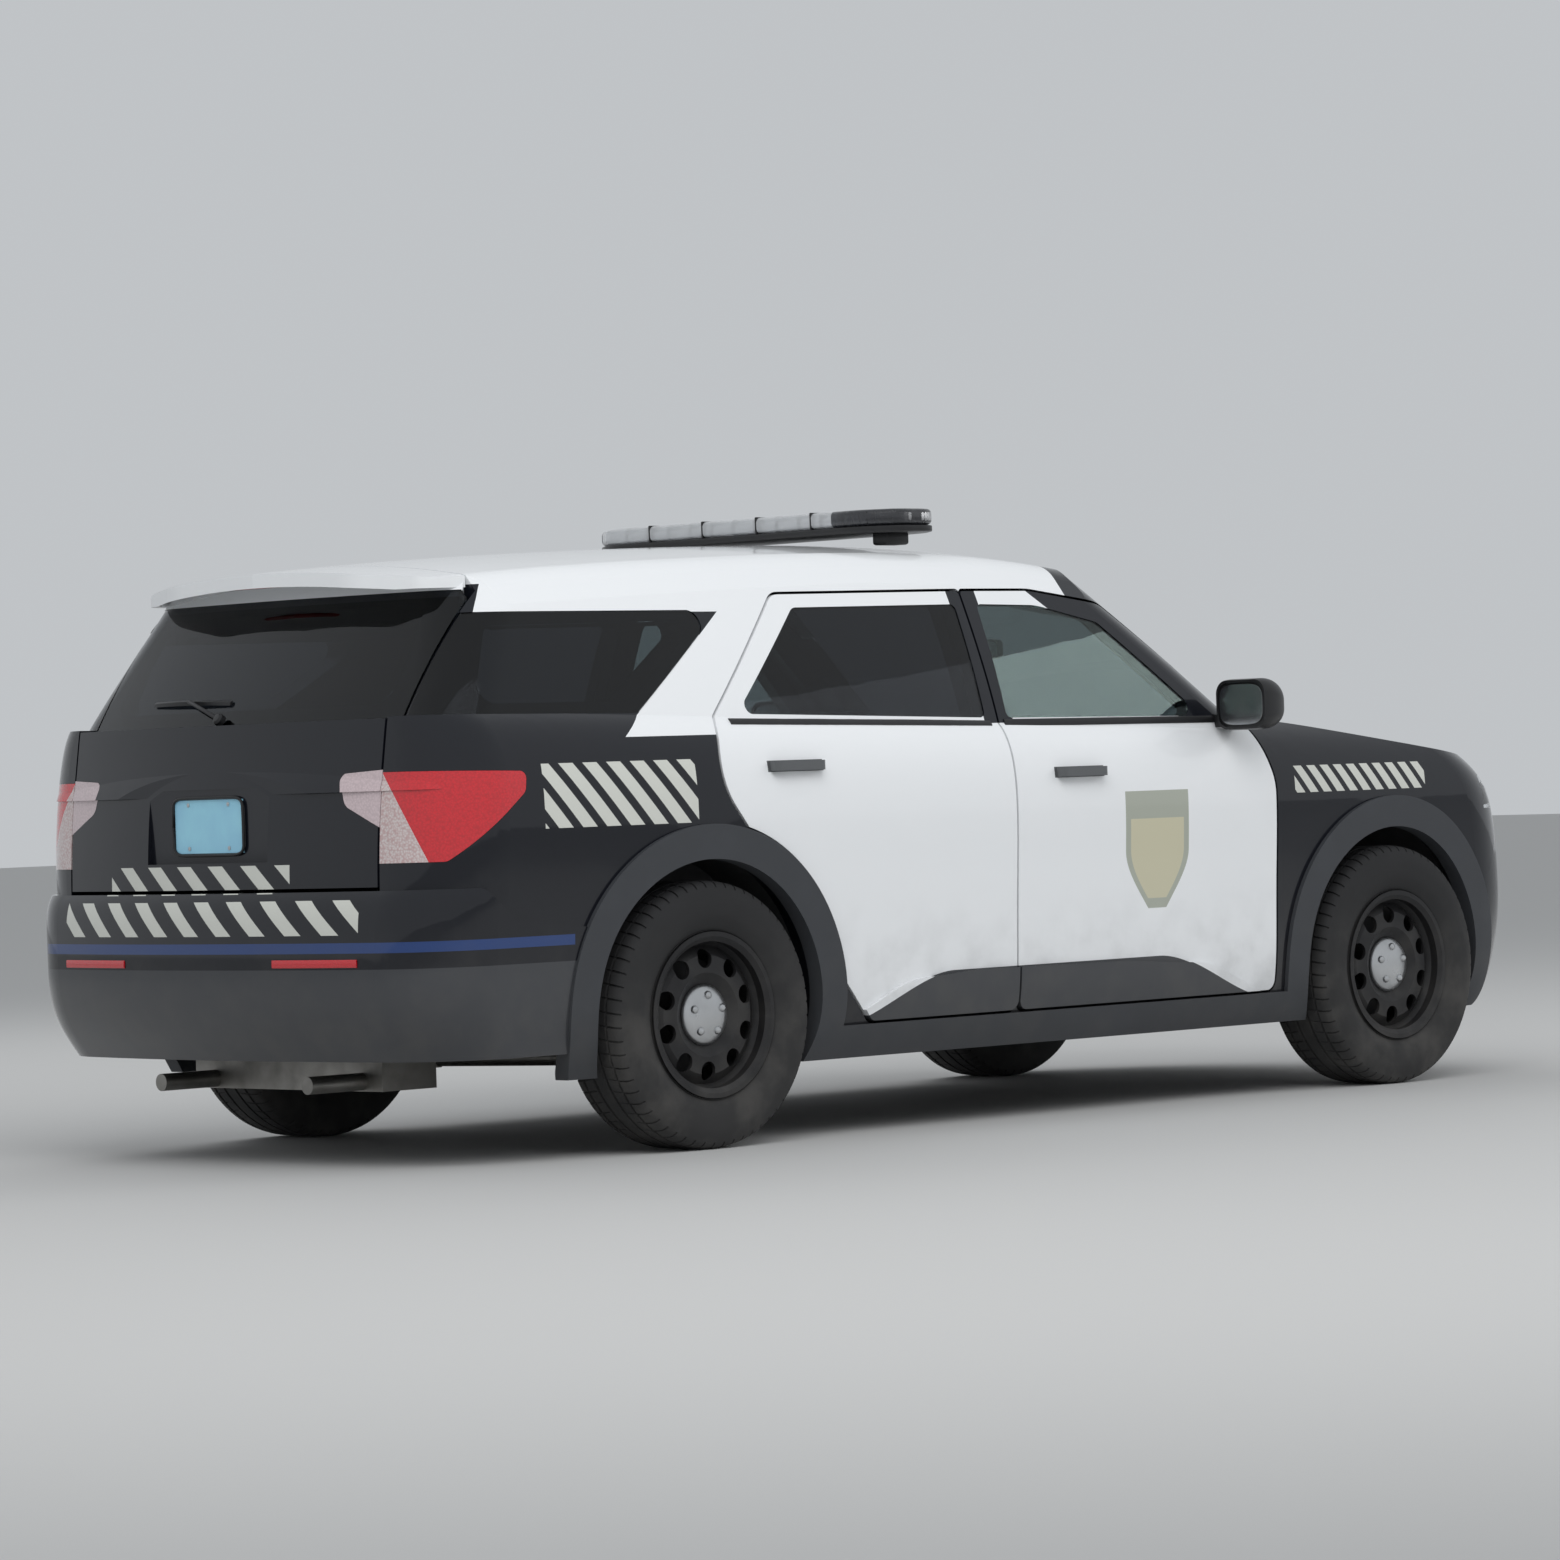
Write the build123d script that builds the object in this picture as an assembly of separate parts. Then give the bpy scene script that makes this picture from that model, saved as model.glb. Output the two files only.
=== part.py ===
from build123d import *
import math
import os

# A police patrol car: a five-door, all-wheel-drive sport-utility vehicle with a roof light bar.
# Millimetres. +X points forward, +Y to the left, +Z up. The origin is on the ground, midway between the
# bumpers.

# Main sizes
LENGTH = 5050
WHEELBASE = 3025
FRONT_AXLE_X = 1605
AXLE_Z = 382
TRACK = 1700
REAR_AXLE_X = FRONT_AXLE_X - WHEELBASE

# Thickness of the walls, and the gaps between panels
SHUT_GAP = 8
PANEL = 50
DOOR_SKIN = 12
DOOR_STEP = 12
PILLAR_FRONT = PANEL + SHUT_GAP
PILLAR_BACK = 105
SEAT_GAP = 0.3
LAMP_GAP = 0.8
RUNNING_FIT = 0.05
GLASS = 5
GLASS_INSET = 3
CLADDING_PROUD = 14
CLADDING_DEPTH = 40

# Lower body: outlines in plan, stacked from the sill up to the shoulder under the side windows
NOSE_BOW = 1650
TAIL_BOW = 4200
SIDE_BOW = 60000
WIDEST_X = -100
LOWER_BODY = (
    # height, nose x, tail x, half width, nose corner, tail corner, pitch in degrees,
    # share of an inset lost in height
    (225, 2395, -2390, 905, 300, 260, 0.0, 0.0),
    (330, 2475, -2450, 946, 330, 270, 0.0, 0.0),
    (500, 2520, -2478, 966, 340, 270, 0.0, 0.0),
    (640, 2525, -2480, 972, 340, 270, 0.0, 0.0),
    (820, 2500, -2478, 982, 330, 265, 0.0, 0.0),
    (960, 2450, -2468, 985, 320, 260, 0.4, 0.0),
    (1080, 2330, -2450, 972, 300, 240, 1.0, 0.25),
    (1160, 2200, -2436, 938, 280, 210, 1.4, 0.6),
    (1215, 2100, -2424, 880, 260, 180, 1.4, 1.0),
)
OPEN_BOTTOM_Z = 100

# Cabin: outlines in plan, stacked from below the shoulder up past the roof
SCREEN_BOW = 2100
BACKLIGHT_BOW = 3600
CABIN = (
    # height, nose x, tail x, half width, nose corner, tail corner
    (1050, 1325, -2475, 950, 170, 190),
    (1180, 1150, -2420, 920, 170, 190),
    (1400, 850, -2285, 848, 160, 195),
    (1640, 520, -2135, 748, 150, 200),
    (1820, 275, -2030, 664, 140, 190),
)
# Roof: sections across the car, each a crown, two round corners and two leaning sides
ROOF_CROWN = 4267
ROOF_CORNER = 120
ROOF_LEAN = 38
ROOF_BASE_Z = 900
ROOF = (
    # station x, crown height, height at which the leaning side meets the cabin side
    (1400, 1440, 1320),
    (950, 1590, 1450),
    (480, 1700, 1555),
    (-100, 1757, 1612),
    (-900, 1755, 1610),
    (-1700, 1722, 1578),
    (-2450, 1662, 1520),
)
# Bonnet: crowned sections across the car
BONNET_HALF = 900
BONNET_REACH = 1150
DOOR_FRONT_X = 1025
BONNET_START_X = DOOR_FRONT_X + SHUT_GAP
BONNET = (
    # station x, height on the centre line, height at the half width above
    (900, 1200, 1190),
    (1300, 1183, 1150),
    (1800, 1140, 1082),
    (2200, 1076, 1012),
    (2400, 1020, 955),
    (2600, 930, 870),
)
# Side view outlines of the left side (x, z, corner radius)
SIDE_FAR = 1300
SIDE_NEAR = 640
SILL_Z = 330
DOOR_SPLIT_X = -160
DOOR_TOP_Z = 1592
CLADDING_TOP_Z = 470
FRONT_DOOR = (
    (DOOR_FRONT_X, SILL_Z, 30),
    (DOOR_FRONT_X, 985, 200),
    (955, 1175, 60),
    (455, 1548, 90),
    (140, DOOR_TOP_Z, 300),
    (DOOR_SPLIT_X, DOOR_TOP_Z, 12),
    (DOOR_SPLIT_X, SILL_Z, 30),
)
REAR_DOOR = (
    (DOOR_SPLIT_X - SHUT_GAP, SILL_Z, 30),
    (DOOR_SPLIT_X - SHUT_GAP, DOOR_TOP_Z, 12),
    (-950, DOOR_TOP_Z - 8, 60),
    (-1330, 1215, 120),
    (-1375, 1050, 200),
    (-1150, 760, 60),
    (-780, SILL_Z, 30),
)
FRONT_WINDOW = (
    (760, 1196, 30),
    (400, 1494, 60),
    (150, 1548, 300),
    (-108, 1552, 20),
    (-122, 1205, 20),
)
REAR_WINDOW = (
    (-215, 1207, 20),
    (-202, 1552, 20),
    (-885, 1545, 40),
    (-1225, 1236, 25),
)
QUARTER_WINDOW = (
    (-1180, 1540, 40),
    (-1600, 1245, 25),
    (-2900, 1262, 0),
    (-2900, 1540, 0),
)
QUARTER_APERTURE = (
    (-1260, 1510, 30),
    (-1620, 1280, 25),
    (-2175, 1280, 40),
    (-2055, 1500, 40),
)
# Seams, wheel arches and wheel wells
ROOF_SEAM_Y = 650
TAILGATE_HALF = 690
TAILGATE_TOP_X = -2043
TAILGATE_BASE_Z = 785
ARCH_OPENING = 430
ARCH_Z = 395
ARCH_CLADDING = 530
WELL_RADIUS_FRONT = 475
WELL_RADIUS_REAR = 455
WELL_WALL = 12
FRONT_WELL_Y = 505
REAR_WELL_Y = 690
BUMPER_TOP_Z = 775
TAIL_LAMP = (
    (-2085, 1092, 20),
    (-2095, 1035, 30),
    (-2330, 850, 20),
    (-2700, 850, 0),
    (-2700, 1110, 0),
)
# Door apertures and their hinges
APERTURE_LIP = 45
JACK_X = (720, -620)
JACK_Y = (812, 852)
JACK_HALF = 40
JACK_Z = 221
HINGE_LEAF = 8
HINGE_FOOT_Y = 875
HINGE_TIP_Y = 930
# Raised cladding along the foot of the doors: its top edge dips towards both wheels
DOOR_FOOT = (
    (980, 200, 0),
    (980, 318, 0),
    (905, 345, 120),
    (700, 430, 300),
    (300, CLADDING_TOP_Z - 15, 900),
    (-350, CLADDING_TOP_Z - 10, 900),
    (-640, 440, 300),
    (-840, 350, 120),
    (-900, 300, 0),
    (-900, 200, 0),
)
# Pull handles: the middle of each, its size, and how far its bar and its feet stand proud of the skin
HANDLES = {
    # door: middle x, middle z
    "front": (118, 1036),
    "rear": (-1070, 1082),
}
HANDLE_LENGTH = 210
HANDLE_HEIGHT = 28
HANDLE_PROUD = 36
HANDLE_BAR = 14
HANDLE_FOOT = 34
HANDLE_ROOT = 25
# Windscreen, in the end view (y, z, corner radius)
SCREEN_BASE_Z = 1120
SCREEN_TOP_Z = 1652
SCREEN = (
    (-742, SCREEN_BASE_Z, 20),
    (742, SCREEN_BASE_Z, 20),
    (600, SCREEN_TOP_Z, 40),
    (-600, SCREEN_TOP_Z, 40),
)
# Rear bumper: its parting line in the side view, its sections, and the room inside it
REAR_BUMPER_SPLIT = (
    (-1800, 200, 0),
    (-1800, 640, 0),
    (-2150, 690, 60),
    (-2250, BUMPER_TOP_Z, 40),
    (-2900, BUMPER_TOP_Z, 0),
    (-2900, 200, 0),
)
REAR_BUMPER = (
    # height, tail x, half width
    (300, -2440, 944),
    (400, -2500, 962),
    (500, -2525, 972),
    (660, -2525, 979),
    (740, -2514, 984),
    (BUMPER_TOP_Z, -2496, 985),
)
BUMPER_SHELF_X = -2385
BUMPER_SHELF_Y = 680
# Hood, in plan
HOOD_GAP = 10
HOOD_THICK = 32
HOOD = (
    # x, y, corner radius of the left half, from the windscreen forwards
    (1165, 500, 300),
    (1025, 838, 60),
    (2080, 806, 200),
    (2330, 640, 160),
)
HOOD_REAR = (1200, 0, 3000)
HOOD_NOSE = (2405, 0, 3000)
# Front end: the bumper's parting line in the side view, then outlines in the end view
BUMPER_SPLIT = (
    (FRONT_AXLE_X, 200, 0),
    (FRONT_AXLE_X, 600, 0),
    (2130, 650, 60),
    (2230, 820, 40),
    (2230, 1200, 0),
    (2900, 1200, 0),
    (2900, 200, 0),
)
HEADLAMP = (
    (565, 868, 15),
    (600, 952, 30),
    (1100, 1000, 0),
    (1100, 872, 0),
)
HEADLAMP_REAR_X = 2105
GRILLE = (
    (-545, 905, 40),
    (-500, 640, 50),
    (500, 640, 50),
    (545, 905, 40),
    (520, 965, 20),
    (-520, 965, 20),
)
INTAKE = (
    (-560, 330, 30),
    (560, 330, 30),
    (500, 520, 30),
    (-500, 520, 30),
)
INTAKE_SLATS = (378, 428, 478)
INTAKE_SLAT = 14
# Grille cells: rows of slanted openings between slats and ribs
CELL_ROWS = 5
CELL_COLUMNS = 8
SLAT = 15
RIB = 12
CELL_LEAN = 14
GRILLE_OPENING = (-448, 448, 668, 940)
# Tailgate: its parting line in the side view, then its glass, lamps, spoiler and plate
TAILGATE = (
    (TAILGATE_TOP_X, 1900, 0),
    (TAILGATE_TOP_X, 1640, 0),
    (-2200, 1300, 0),
    (-2300, TAILGATE_BASE_Z, 0),
    (-2900, TAILGATE_BASE_Z, 0),
    (-2900, 1900, 0),
)
BACKLIGHT = (
    (-TAILGATE_HALF, 1250, 0),
    (TAILGATE_HALF, 1250, 0),
    (TAILGATE_HALF, 1606, 0),
    (-TAILGATE_HALF, 1606, 0),
)
BACKLIGHT_FRONT_X = -2060
BACKLIGHT_APERTURE = (
    (-620, 1290, 50),
    (620, 1290, 50),
    (590, 1566, 50),
    (-590, 1566, 50),
)
GATE_LAMP = (
    (TAILGATE_HALF + 5, 950, 0),
    (TAILGATE_HALF + 5, 1108, 0),
    (540, 1100, 20),
    (565, 1012, 40),
)
SPOILER_HALF = 665
SPOILER = (
    (TAILGATE_TOP_X, -SPOILER_HALF, 0),
    (TAILGATE_TOP_X, SPOILER_HALF, 0),
    (-2160, SPOILER_HALF - 45, 80),
    (-2245, 400, 300),
    (-2268, 0, 0),
    (-2245, -400, 300),
    (-2160, 45 - SPOILER_HALF, 80),
)
SPOILER_THICK = 40
SPOILER_FOOT_Z = 1612
PLATE_Z = 965
PLATE_WIDTH = 304
PLATE_HEIGHT = 152
PLATE_THICK = 3
PLATE_RECESS_X = -2452
PLATE_RECESS_WIDTH = 540
PLATE_RECESS_HEIGHT = 210
# Engine, bulkhead and floor
ENGINE_HALF = 290
UNDERFLOOR_Z = 420
BULKHEAD_X = 990
BULKHEAD_THICK = 40
TUNNEL_HALF = 150
TUNNEL_WALL = 40
TUNNEL_ROOF = 35
TUNNEL_TOP_Z = 430
TUNNEL_END_X = -930
FLOOR_LOW_Z = 262
FLOOR_THICK = 40
FLOOR = (
    (BULKHEAD_X, FLOOR_LOW_Z, 0),
    (-1000, FLOOR_LOW_Z, 60),
    (-1180, UNDERFLOOR_Z, 60),
    (-2395, UNDERFLOOR_Z, 0),
    (-2395, UNDERFLOOR_Z + FLOOR_THICK, 0),
    (-1200, UNDERFLOOR_Z + FLOOR_THICK, 60),
    (-1040, FLOOR_LOW_Z + FLOOR_THICK, 60),
    (BULKHEAD_X, FLOOR_LOW_Z + FLOOR_THICK, 0),
)
# Wheels, as (radius, y) from the wheel's middle, its outer face towards +Y
TYRE_RADIUS = 382
TYRE_WIDTH = 250
RIM_RADIUS = 229
RIM_WIDTH = 228
WHEEL_FACE_Y = 60
VENT_PAIRS = 5
VENT_SPREAD = 0.33
VENT_CIRCLE = 160
VENT_RADIUS = 27
CAP_RADIUS = 84
CAP_HEIGHT = 32
HUB_RADIUS = 74
DISC_RADIUS = 172
DISC_FACES = (-45, -17)
STUB = 28
STUB_END = -112
# Front suspension: the steering axis runs from the ball joint up to the strut's top mount
BALL_JOINT = (FRONT_AXLE_X, 772, 232)
TOP_MOUNT = (FRONT_AXLE_X, 600, 850)
BALL_STUD = 12
STRUT_STEM = 10
CARRIER_BACK = -125
CARRIER_FRONT = -62
DISC_CLEARANCE = 6
# Cabin fittings
HIP = 530
SEAT_BASE_Z = FLOOR_LOW_Z + FLOOR_THICK + SEAT_GAP
SEAT_Y = 400
FRONT_SEAT_X = -80
FRONT_SEAT_WIDTH = 520
BENCH_X = -1010
BENCH_WIDTH = 1320
BENCH_PLACE_Y = 415
DASHBOARD = (
    (988, 560, 0),
    (988, 1085, 0),
    (800, 1095, 60),
    (560, 1040, 60),
    (540, 900, 60),
    (640, 700, 60),
    (760, 560, 40),
)
CONSOLE = (
    (700, TUNNEL_TOP_Z + SEAT_GAP, 0),
    (700, 720, 0),
    (480, 680, 60),
    (-150, 600, 60),
    (-200, TUNNEL_TOP_Z + SEAT_GAP, 0),
)
STEER_HUB = (400, 400, 962.2)
STEER_SHAFT = 11
# Light bar on the roof
LIGHT_BAR_X = -230
LIGHT_BAR_HALF = 670
LIGHT_BAR_DEEP = 150
LIGHT_BAR_Z = 1778
LIGHT_BAR_HEIGHT = 70
# Door mirror: sections across the car, from the glass forwards
MIRROR = (
    # x, middle y, half width, middle z, half height, corner
    (788, 1046, 99, 1226, 76, 42),
    (800, 1046, 101, 1226, 78, 44),
    (870, 1044, 96, 1226, 74, 50),
    (925, 1034, 70, 1222, 52, 44),
    (940, 1026, 46, 1218, 34, 30),
)
MIRROR_RIM = 8


def circle_meet(c1, r1, c2, r2, ahead):
    """The meeting point of two circles: the forward one if ahead is 1, the rear one if it is -1."""
    dx, dy = c2[0] - c1[0], c2[1] - c1[1]
    d = math.hypot(dx, dy)
    a = (r1 * r1 - r2 * r2 + d * d) / (2 * d)
    h = math.sqrt(r1 * r1 - a * a)
    points = [(c1[0] + a * dx / d + s * h * dy / d, c1[1] + a * dy / d - s * h * dx / d) for s in (1, -1)]
    return max(points, key=lambda p: ahead * p[0])


def reach(centre, through, radius):
    """The point at a radius from centre, on the ray through another point."""
    d = math.hypot(through[0] - centre[0], through[1] - centre[1])
    return tuple(c + (t - c) * radius / d for c, t in zip(centre, through))


def arc_middle(centre, a, b):
    radius = math.hypot(a[0] - centre[0], a[1] - centre[1])
    return reach(centre, ((a[0] + b[0]) / 2, (a[1] + b[1]) / 2), radius)


def plan_outline(nose, tail, half, bows, corners, height, pitch=0.0):
    """A closed outline in plan: bowed nose, sides and tail with a round corner between each two."""
    nose_bow, side_bow, tail_bow = bows
    nose_corner, tail_corner = corners
    cn, ct, cs = (nose - nose_bow, 0), (tail + tail_bow, 0), (WIDEST_X, half - side_bow)
    kn = circle_meet(cn, nose_bow - nose_corner, cs, side_bow - nose_corner, 1)
    kt = circle_meet(ct, tail_bow - tail_corner, cs, side_bow - tail_corner, -1)
    n1, n2 = reach(cn, kn, nose_bow), reach(cs, kn, side_bow)
    t1, t2 = reach(ct, kt, tail_bow), reach(cs, kt, side_bow)

    def other(p):
        return (p[0], -p[1])

    runs = [
        (kn, n1, n2),
        (cs, n2, t2),
        (kt, t2, t1),
        (ct, t1, other(t1)),
        (other(kt), other(t1), other(t2)),
        (other(cs), other(t2), other(n2)),
        (other(kn), other(n2), other(n1)),
        (cn, other(n1), n1),
    ]
    edges = [ThreePointArc(a, arc_middle(centre, a, b), b) for centre, a, b in runs]
    return Wire(edges).moved(Location((0, 0, height), (0, pitch, 0)))


def lower_body(inset=0.0):
    """Everything below the windows as one closed volume, moved in by inset."""
    rows = LOWER_BODY
    if inset > 0:
        rows = ((OPEN_BOTTOM_Z,) + LOWER_BODY[0][1:],) + LOWER_BODY[1:]
    bows = (NOSE_BOW - inset, SIDE_BOW - inset, TAIL_BOW - inset)
    sections = []
    for height, nose, tail, half, nose_corner, tail_corner, pitch, share in rows:
        level, corners = height - inset * share, (nose_corner - inset, tail_corner - inset)
        sections.append(plan_outline(nose - inset, tail + inset, half - inset, bows, corners, level, pitch))
    return Solid.make_loft(sections)


def cabin_half(height, x):
    """Half the width of the cabin side at a height and station."""
    for low, high in zip(CABIN, CABIN[1:]):
        if height <= high[0]:
            break
    half = low[3] + (high[3] - low[3]) * (height - low[0]) / (high[0] - low[0])
    return half - (x - WIDEST_X) ** 2 / (2 * SIDE_BOW)


def cabin_walls(inset=0.0):
    """Windscreen, side windows and rear window as one closed ring volume, moved in by inset."""
    bows = (SCREEN_BOW - inset, SIDE_BOW - inset, BACKLIGHT_BOW - inset)
    sections = []
    for height, nose, tail, half, nose_corner, tail_corner in CABIN:
        corners = (nose_corner - inset / 2, tail_corner - inset / 2)
        sections.append(plan_outline(nose - inset, tail + inset, half - inset, bows, corners, height))
    return Solid.make_loft(sections)


def roof_section(x, crown_z, rail_z, inset):
    lean = math.radians(ROOF_LEAN)
    radius, corner = ROOF_CROWN - inset, max(ROOF_CORNER - inset, 30)
    centre = (0, crown_z - ROOF_CROWN)
    rail = (cabin_half(rail_z, x) - inset * math.cos(lean), rail_z - inset * math.sin(lean))
    along, inward = (-math.sin(lean), math.cos(lean)), (-math.cos(lean), -math.sin(lean))
    qy, qz = (rail[i] + inward[i] * corner - centre[i] for i in (0, 1))
    b, c = qy * along[0] + qz * along[1], qy * qy + qz * qz - (radius - corner) ** 2
    run = math.sqrt(b * b - c) - b
    round_centre = tuple(rail[i] + inward[i] * corner + along[i] * run for i in (0, 1))
    t1 = tuple(rail[i] + along[i] * run for i in (0, 1))
    t2 = reach(centre, round_centre, radius)
    foot = (rail[0] + math.tan(lean) * (rail[1] - ROOF_BASE_Z), ROOF_BASE_Z)

    def other(p):
        return (-p[0], p[1])

    def line(a, b):
        return Edge.make_line(Vector(x, *a), Vector(x, *b))

    def arc(k, a, b):
        return Edge.make_three_point_arc(Vector(x, *a), Vector(x, *arc_middle(k, a, b)), Vector(x, *b))

    return Wire([
        line(other(foot), foot),
        line(foot, t1),
        arc(round_centre, t1, t2),
        arc(centre, t2, other(t2)),
        arc(other(round_centre), other(t2), other(t1)),
        line(other(t1), other(foot)),
    ])


def roof_block(inset=0.0):
    return Solid.make_loft([roof_section(x, crown, rail, inset) for x, crown, rail in ROOF])


def bonnet_block(inset=0.0):
    """The space under the bonnet's surface."""
    sections = []
    for x, middle, edge in BONNET:
        sag = middle - edge
        radius = (BONNET_HALF ** 2 + sag ** 2) / (2 * sag)
        low = middle - inset - (radius - math.sqrt(radius ** 2 - BONNET_REACH ** 2))
        a, b = Vector(x, -BONNET_REACH, low), Vector(x, BONNET_REACH, low)
        c, d = Vector(x, BONNET_REACH, OPEN_BOTTOM_Z), Vector(x, -BONNET_REACH, OPEN_BOTTOM_Z)
        crown = Edge.make_three_point_arc(a, Vector(x, 0, middle - inset), b)
        sections.append(Wire([crown, Edge.make_line(b, c), Edge.make_line(c, d), Edge.make_line(d, a)]))
    return Solid.make_loft(sections)


def box(x, y, z):
    """A block between two values on each axis."""
    return Box(x[1] - x[0], y[1] - y[0], z[1] - z[0]).moved(
        Location(((x[0] + x[1]) / 2, (y[0] + y[1]) / 2, (z[0] + z[1]) / 2))
    )


def cabin(inset=0.0):
    return cabin_walls(inset) & roof_block(inset)


def whole_body(inset=0.0):
    over_bonnet = box((BONNET_START_X, LENGTH), (-BONNET_REACH - 50, BONNET_REACH + 50), (700, 1600))
    return lower_body(inset) - (over_bonnet - bonnet_block(inset)) + cabin(inset)


def rounded_loop(points, place):
    """A closed wire through corners (u, v, radius): straight runs with an arc at each corner that has one."""
    corners = []
    for i, (u, v, *radius) in enumerate(points):
        p = (u, v)
        r = radius[0] if radius else 0
        if r == 0:
            corners.append((p, p, p))
            continue
        before, after = points[i - 1], points[(i + 1) % len(points)]
        la, lb = math.hypot(before[0] - u, before[1] - v), math.hypot(after[0] - u, after[1] - v)
        a, b = ((before[0] - u) / la, (before[1] - v) / la), ((after[0] - u) / lb, (after[1] - v) / lb)
        half = math.acos(max(-1, min(1, a[0] * b[0] + a[1] * b[1]))) / 2
        run = r / math.tan(half)
        bis = (a[0] + b[0], a[1] + b[1])
        size = math.hypot(*bis)
        deep = r / math.sin(half) - r
        middle = (u + bis[0] / size * deep, v + bis[1] / size * deep)
        corners.append(((u + a[0] * run, v + a[1] * run), middle, (u + b[0] * run, v + b[1] * run)))
    edges = []
    for i, (start, middle, end) in enumerate(corners):
        if start != end:
            edges.append(Edge.make_three_point_arc(place(*start), place(*middle), place(*end)))
        following = corners[(i + 1) % len(corners)][0]
        if math.hypot(end[0] - following[0], end[1] - following[1]) > 1e-6:
            edges.append(Edge.make_line(place(*end), place(*following)))
    return Wire(edges)


def side_prism(points, y_from, y_to):
    """An outline in the side view (x, z, radius), swept across the car."""
    face = Face(rounded_loop(points, lambda x, z: Vector(x, y_from, z)))
    return Solid.extrude(face, Vector(0, y_to - y_from, 0))


def end_prism(points, x_from, x_to):
    """An outline in the end view (y, z, radius), swept along the car."""
    face = Face(rounded_loop(points, lambda y, z: Vector(x_from, y, z)))
    return Solid.extrude(face, Vector(x_to - x_from, 0, 0))


def plan_prism(points, z_from, z_to):
    """An outline in plan (x, y, radius), swept upwards."""
    face = Face(rounded_loop(points, lambda x, y: Vector(x, y, z_from)))
    return Solid.extrude(face, Vector(0, 0, z_to - z_from))


def rod(a, b, radius):
    """A round bar from a to b."""
    a, b = Vector(*a), Vector(*b)
    return Solid.make_cylinder(radius, (b - a).length, Plane(a, z_dir=b - a))


def right_of(shape):
    return mirror(shape, about=Plane.XZ)


def one(shape):
    """A single solid out of a boolean's result: the largest piece."""
    return max(shape.solids(), key=lambda s: s.volume)


def pair(shape):
    """The left piece and its mirror image, as two solids in one node."""
    left = one(shape)
    return Compound([left, one(right_of(left))])


# Volumes shared by the panels
OUTER = whole_body()
BACK = whole_body(PANEL)
SHELL = OUTER - BACK
SKIN_BACK = whole_body(DOOR_SKIN)
PILLAR_OUTER = whole_body(PILLAR_FRONT)
INNER = whole_body(PILLAR_BACK)
CABIN_SPACE = whole_body(PILLAR_BACK + LAMP_GAP)
GLASS_SHELL = cabin(GLASS_INSET) - cabin(GLASS_INSET + GLASS)
GLASS_SEAT = cabin(GLASS_INSET + GLASS + SEAT_GAP)
CLAD_OUTER = lower_body(-CLADDING_PROUD)


def grown(points, amount):
    """An outline moved outwards by amount (inwards if negative), its corner radii following."""
    area = sum(p[0] * q[1] - q[0] * p[1] for p, q in zip(points, points[1:] + points[:1]))
    turn = 1 if area > 0 else -1
    out = []
    for i, (u, v, *radius) in enumerate(points):
        before, after = points[i - 1], points[(i + 1) % len(points)]
        normals = []
        for p, q in ((before, (u, v)), ((u, v), after)):
            dx, dy = q[0] - p[0], q[1] - p[1]
            size = math.hypot(dx, dy)
            normals.append((turn * dy / size, -turn * dx / size))
        (ax, ay), (bx, by) = normals
        scale = amount / (1 + ax * bx + ay * by)
        r = radius[0] if radius else 0
        out.append((u + (ax + bx) * scale, v + (ay + by) * scale, max(r + (amount if r else 0), r * 0.4)))
    return tuple(out)


def wheel_disc(axle_x, radius, y_from, y_to, z=ARCH_Z):
    return rod((axle_x, y_from, z), (axle_x, y_to, z), radius)


def cladding_zone(gap=0.0):
    """The left side's wheel arch bands and sill band in the side view, swept across the car."""
    near, far, foot = SIDE_NEAR, SIDE_FAR, LOWER_BODY[0][0]
    arches = [wheel_disc(x, ARCH_CLADDING - gap, near, far) for x in (FRONT_AXLE_X, REAR_AXLE_X)]
    sill = box((REAR_AXLE_X, FRONT_AXLE_X), (near, far), (foot - 1 + gap, SILL_Z - SHUT_GAP - gap))
    return (arches[0] + arches[1] + sill) & box((-LENGTH, LENGTH), (near, far), (foot - 1 + gap, LENGTH))


def cladding_seat():
    """What the cladding takes out of the panels under it."""
    return cladding_zone() - lower_body(CLADDING_DEPTH)


def side_y(x, z):
    """The half width of the body's side at a station and height."""
    rows = [(row[0], row[3]) for row in LOWER_BODY]
    (z0, half0), (z1, half1) = next(ends for ends in zip(rows, rows[1:]) if z <= ends[1][0])
    half = half0 + (half1 - half0) * (z - z0) / (z1 - z0)
    return half - (x - WIDEST_X) ** 2 / (2 * SIDE_BOW)


def handle(x, z):
    """A bar that stands clear of the door on two feet, its ends rounded."""
    y, half = side_y(x, z), HANDLE_LENGTH / 2
    low, high = z - HANDLE_HEIGHT / 2, z + HANDLE_HEIGHT / 2
    far, near = y + HANDLE_PROUD, y - HANDLE_ROOT
    outside = ((x - half, near, 0), (x + half, near, 0), (x + half - 6, far, 18), (x - half + 6, far, 18))
    grip = half - HANDLE_FOOT
    inside = (
        (x - grip - 8, near - 1, 0),
        (x + grip + 8, near - 1, 0),
        (x + grip, far - HANDLE_BAR, 8),
        (x - grip, far - HANDLE_BAR, 8),
    )
    return plan_prism(outside, low, high) - plan_prism(inside, low - 1, high + 1)


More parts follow.
